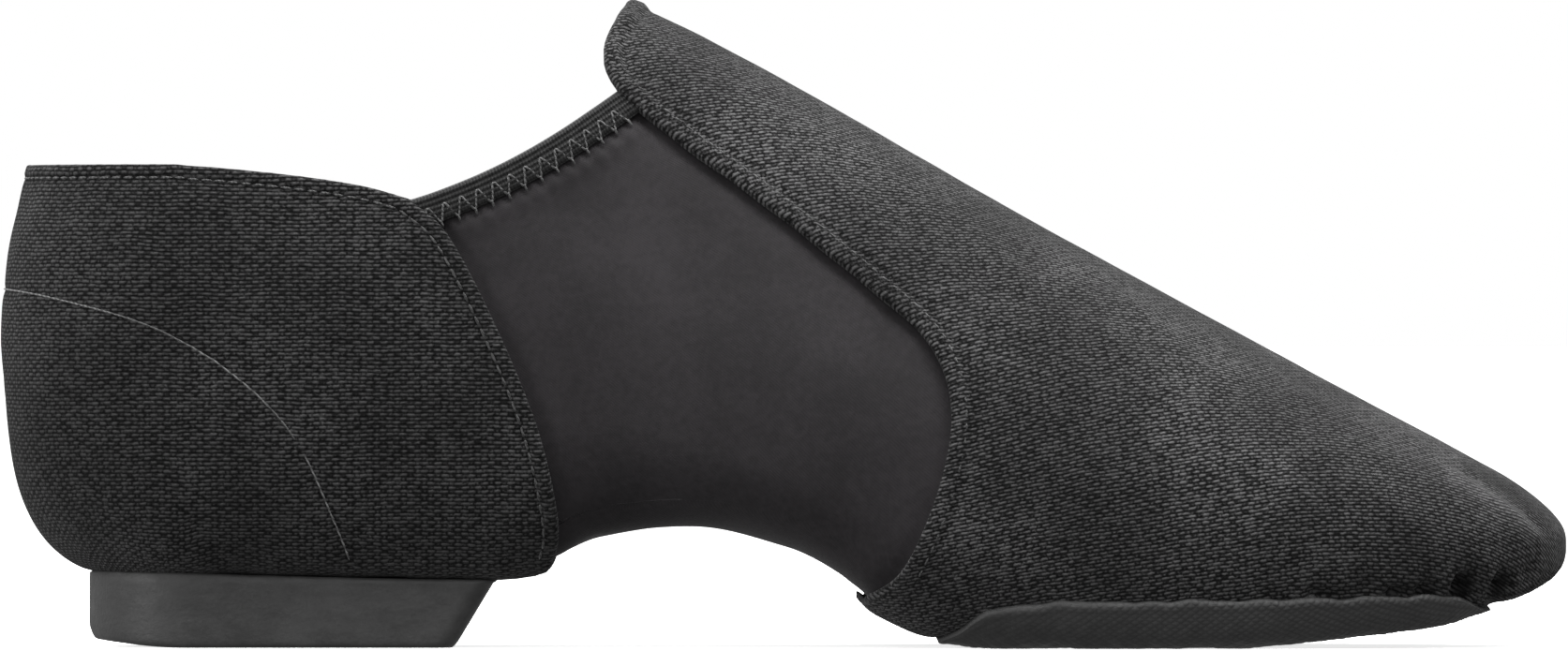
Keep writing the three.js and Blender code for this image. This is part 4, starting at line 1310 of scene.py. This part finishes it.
stitchSettings = {
    "quarterEdge": {"Pitch": 0.0021, "Length": 0.00165, "Width": 0.00042, "Unevenness": 0.15, "Seed": 1},
    "topline": {"Pitch": 0.0021, "Length": 0.0016, "Width": 0.00040, "Unevenness": 0.15, "Seed": 2},
    "counter": {"Pitch": 0.0021, "Length": 0.0024, "Width": 0.00030, "Unevenness": 0.15, "Seed": 3},
    "vampEdge": {"Pitch": 0.0022, "Length": 0.0012, "Width": 0.00034, "Unevenness": 0.3, "Seed": 4},
    "zigzag": {"Width": 0.00036},
}
zigzagRows = ((5.25, 0.85), (1.9, 0.02))  # below the fold, and depth
running, zigzag = stitchTree(), zigzagTree()

counterBend = counterSide[counterSide[:, 1] > 14.5]
lowered = heelTopline - [0, 2.3]
loweredSide = lowered[(lowered[:, 0] >= 30) & (lowered[:, 0] < 63)]
heelRuns = {"topline": [], "counter": []}
for label, side in sides.items():
    for part, edge, towards, low, high, depth, body in (
        ("quarter", quarterEdge, -1, 14.5, 69.5, -0.02, "heel"),
        ("vamp", vampEdge, 1, 11, 86, -0.18, "forefoot"),
    ):
        row = rowAt(edge, quarterSettings["stitchInset"], towards)
        row = row[(row[:, 1] > low) & (row[:, 1] < high)]
        runs = [onSkin(evenly(traced(side, row), np.linspace(0, 1, 200)), depth)]
        name = f"{part}_edge_stitching_{label}"
        values = stitchSettings[f"{part}Edge"]
        piece = threadPiece(name, runs, "outward", running, values, "edgeThread", name)
        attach(piece, body)

    for part, fan, rest, depth in (
        ("topline", heelFan(side, 40, lowered), loweredSide, -0.02),
        ("counter", heelFan(side, 40, counterEdge, falling=True), counterBend, -0.1),
    ):
        row = evenly(np.vstack([fan, traced(side, rest)]), np.linspace(0, 1, 240))
        heelRuns[part].append(onSkin(row, depth))

    s = np.linspace(63.5, 97.5, 120)
    line = np.stack([s, stretchTop(s)], 1)
    rows = []
    for drop, depth in zigzagRows:
        moved = rowAt(line, drop, -1, axis=1)
        rows.append(onSide(side, moved[:, 0], moved[:, 1], depth))
    middle, half = (rows[0] + rows[1]) / 2, (rows[1] - rows[0]) / 2000
    crossings = 2 * round(float(runLength(middle, 0)[-1]) / zigzagPitch) + 1
    name = f"zigzag_stitching_{label}"
    values = {"Crossings": crossings, **stitchSettings["zigzag"]}
    piece = threadPiece(name, [(middle, half)], "across", zigzag, values, "zigzagThread", name)
    flexing(piece)

for part, material in (("topline", "thread"), ("counter", "paleThread")):
    name = f"{part}_stitching"
    piece = threadPiece(name, heelRuns[part], "outward", running, stitchSettings[part], material, name)
    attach(piece, "heel")
print("threads made")

# The stiffening layers keep their own shapes
for node, material in (
    ("back_seam_tape", "lining"), ("heel_counter", "stiffener"), ("heel_insole_board", "board"),
    ("forefoot_insole_board", "board"),
):
    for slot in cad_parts[node].material_slots:
        slot.material = materials[material]

studio = {
    "distance": 4.0,
    "aim": (125.0, 0.0, 51.3),
    "width": 250.6,
    "world": 1.0,
    "sky": [(0.0, 0.3), (1.0, 0.75), (0.44, 0.5), (0.485, 1.0), (0.53, 1.0), (0.6, 0.5)],
    "floor": 0.9,
    "floorReach": 60,
    "lights": {  # place beside the middle of the shoe, width and height in metres, watts
        "topBox": ((0.15, 0.0, 1.2), (1.6, 1.2), 66),
        "frontBox": ((-0.1, -1.6, 0.7), (1.2, 0.7), 7),
        "heelBox": ((-1.3, -0.5, 0.3), (0.8, 0.8), 14),
    },
}


def floorPiece():
    mesh = bpy.data.meshes.new("paper_floor")
    corners = [(x * studio["floorReach"], y * studio["floorReach"], 0)
               for x, y in ((-1, -1), (1, -1), (1, 1), (-1, 1))]
    mesh.from_pydata(corners, [], [(0, 1, 2, 3)])
    floor = addObject("paper_floor", mesh)
    made = Shader("palePaper")
    grain = made.noise(made.objectPoint(), 40, 2)
    colour = made.blendColour(grain, grey(studio["floor"] - 0.01), grey(studio["floor"] + 0.01))
    floor.data.materials.append(made.finish(colour, 0.9, {
        "Specular IOR Level": 0.1, "Emission Color": (1, 1, 1, 1), "Emission Strength": 0.75}))
    floor.visible_diffuse = floor.visible_glossy = False  # no glare from below on the dark cloth


def softLight(name, at, aim, size, power):
    lamp = bpy.data.lights.new(name, "AREA")
    lamp.shape = "RECTANGLE"
    lamp.size, lamp.size_y = size
    lamp.energy = power
    holder = addObject(name, lamp)
    holder.location = at
    holder.rotation_euler = (Vector(aim) - Vector(at)).to_track_quat("-Z", "Y").to_euler()


def studioSetup():
    scene = bpy.context.scene
    world = bpy.data.worlds.new("paleRoom")
    world.use_nodes = True
    room = NodeTree(world.node_tree)
    height = room.split(room.node("ShaderNodeTexCoord").outputs["Generated"])[2]
    upward = room.first("ShaderNodeMapRange", {}, {"Value": height, "From Min": -1.0})
    fade = room.first("ShaderNodeValToRGB", {"stops": studio["sky"]}, {"Fac": upward})
    background = world.node_tree.nodes["Background"]
    room.feed(background.inputs["Color"], fade)
    room.feed(background.inputs["Strength"], studio["world"])
    scene.world = world
    scene.view_settings.view_transform = "Standard"
    centre = toFrame([125.0, 0.0, 50.0])
    for name, (beside, size, power) in studio["lights"].items():
        softLight(name, centre + beside, centre, size, power)
    camera = bpy.data.cameras.new("camera")
    camera.sensor_width = 36
    camera.lens = 36 * studio["distance"] / (studio["width"] / 1000)
    camera.clip_start, camera.clip_end = 0.1, 60
    holder = addObject("camera", camera)
    holder.location = toFrame(studio["aim"]) - [0, studio["distance"], 0]
    holder.rotation_euler = (math.pi / 2, 0, 0)
    scene.camera = holder


floorPiece()
studioSetup()
print("studio set")
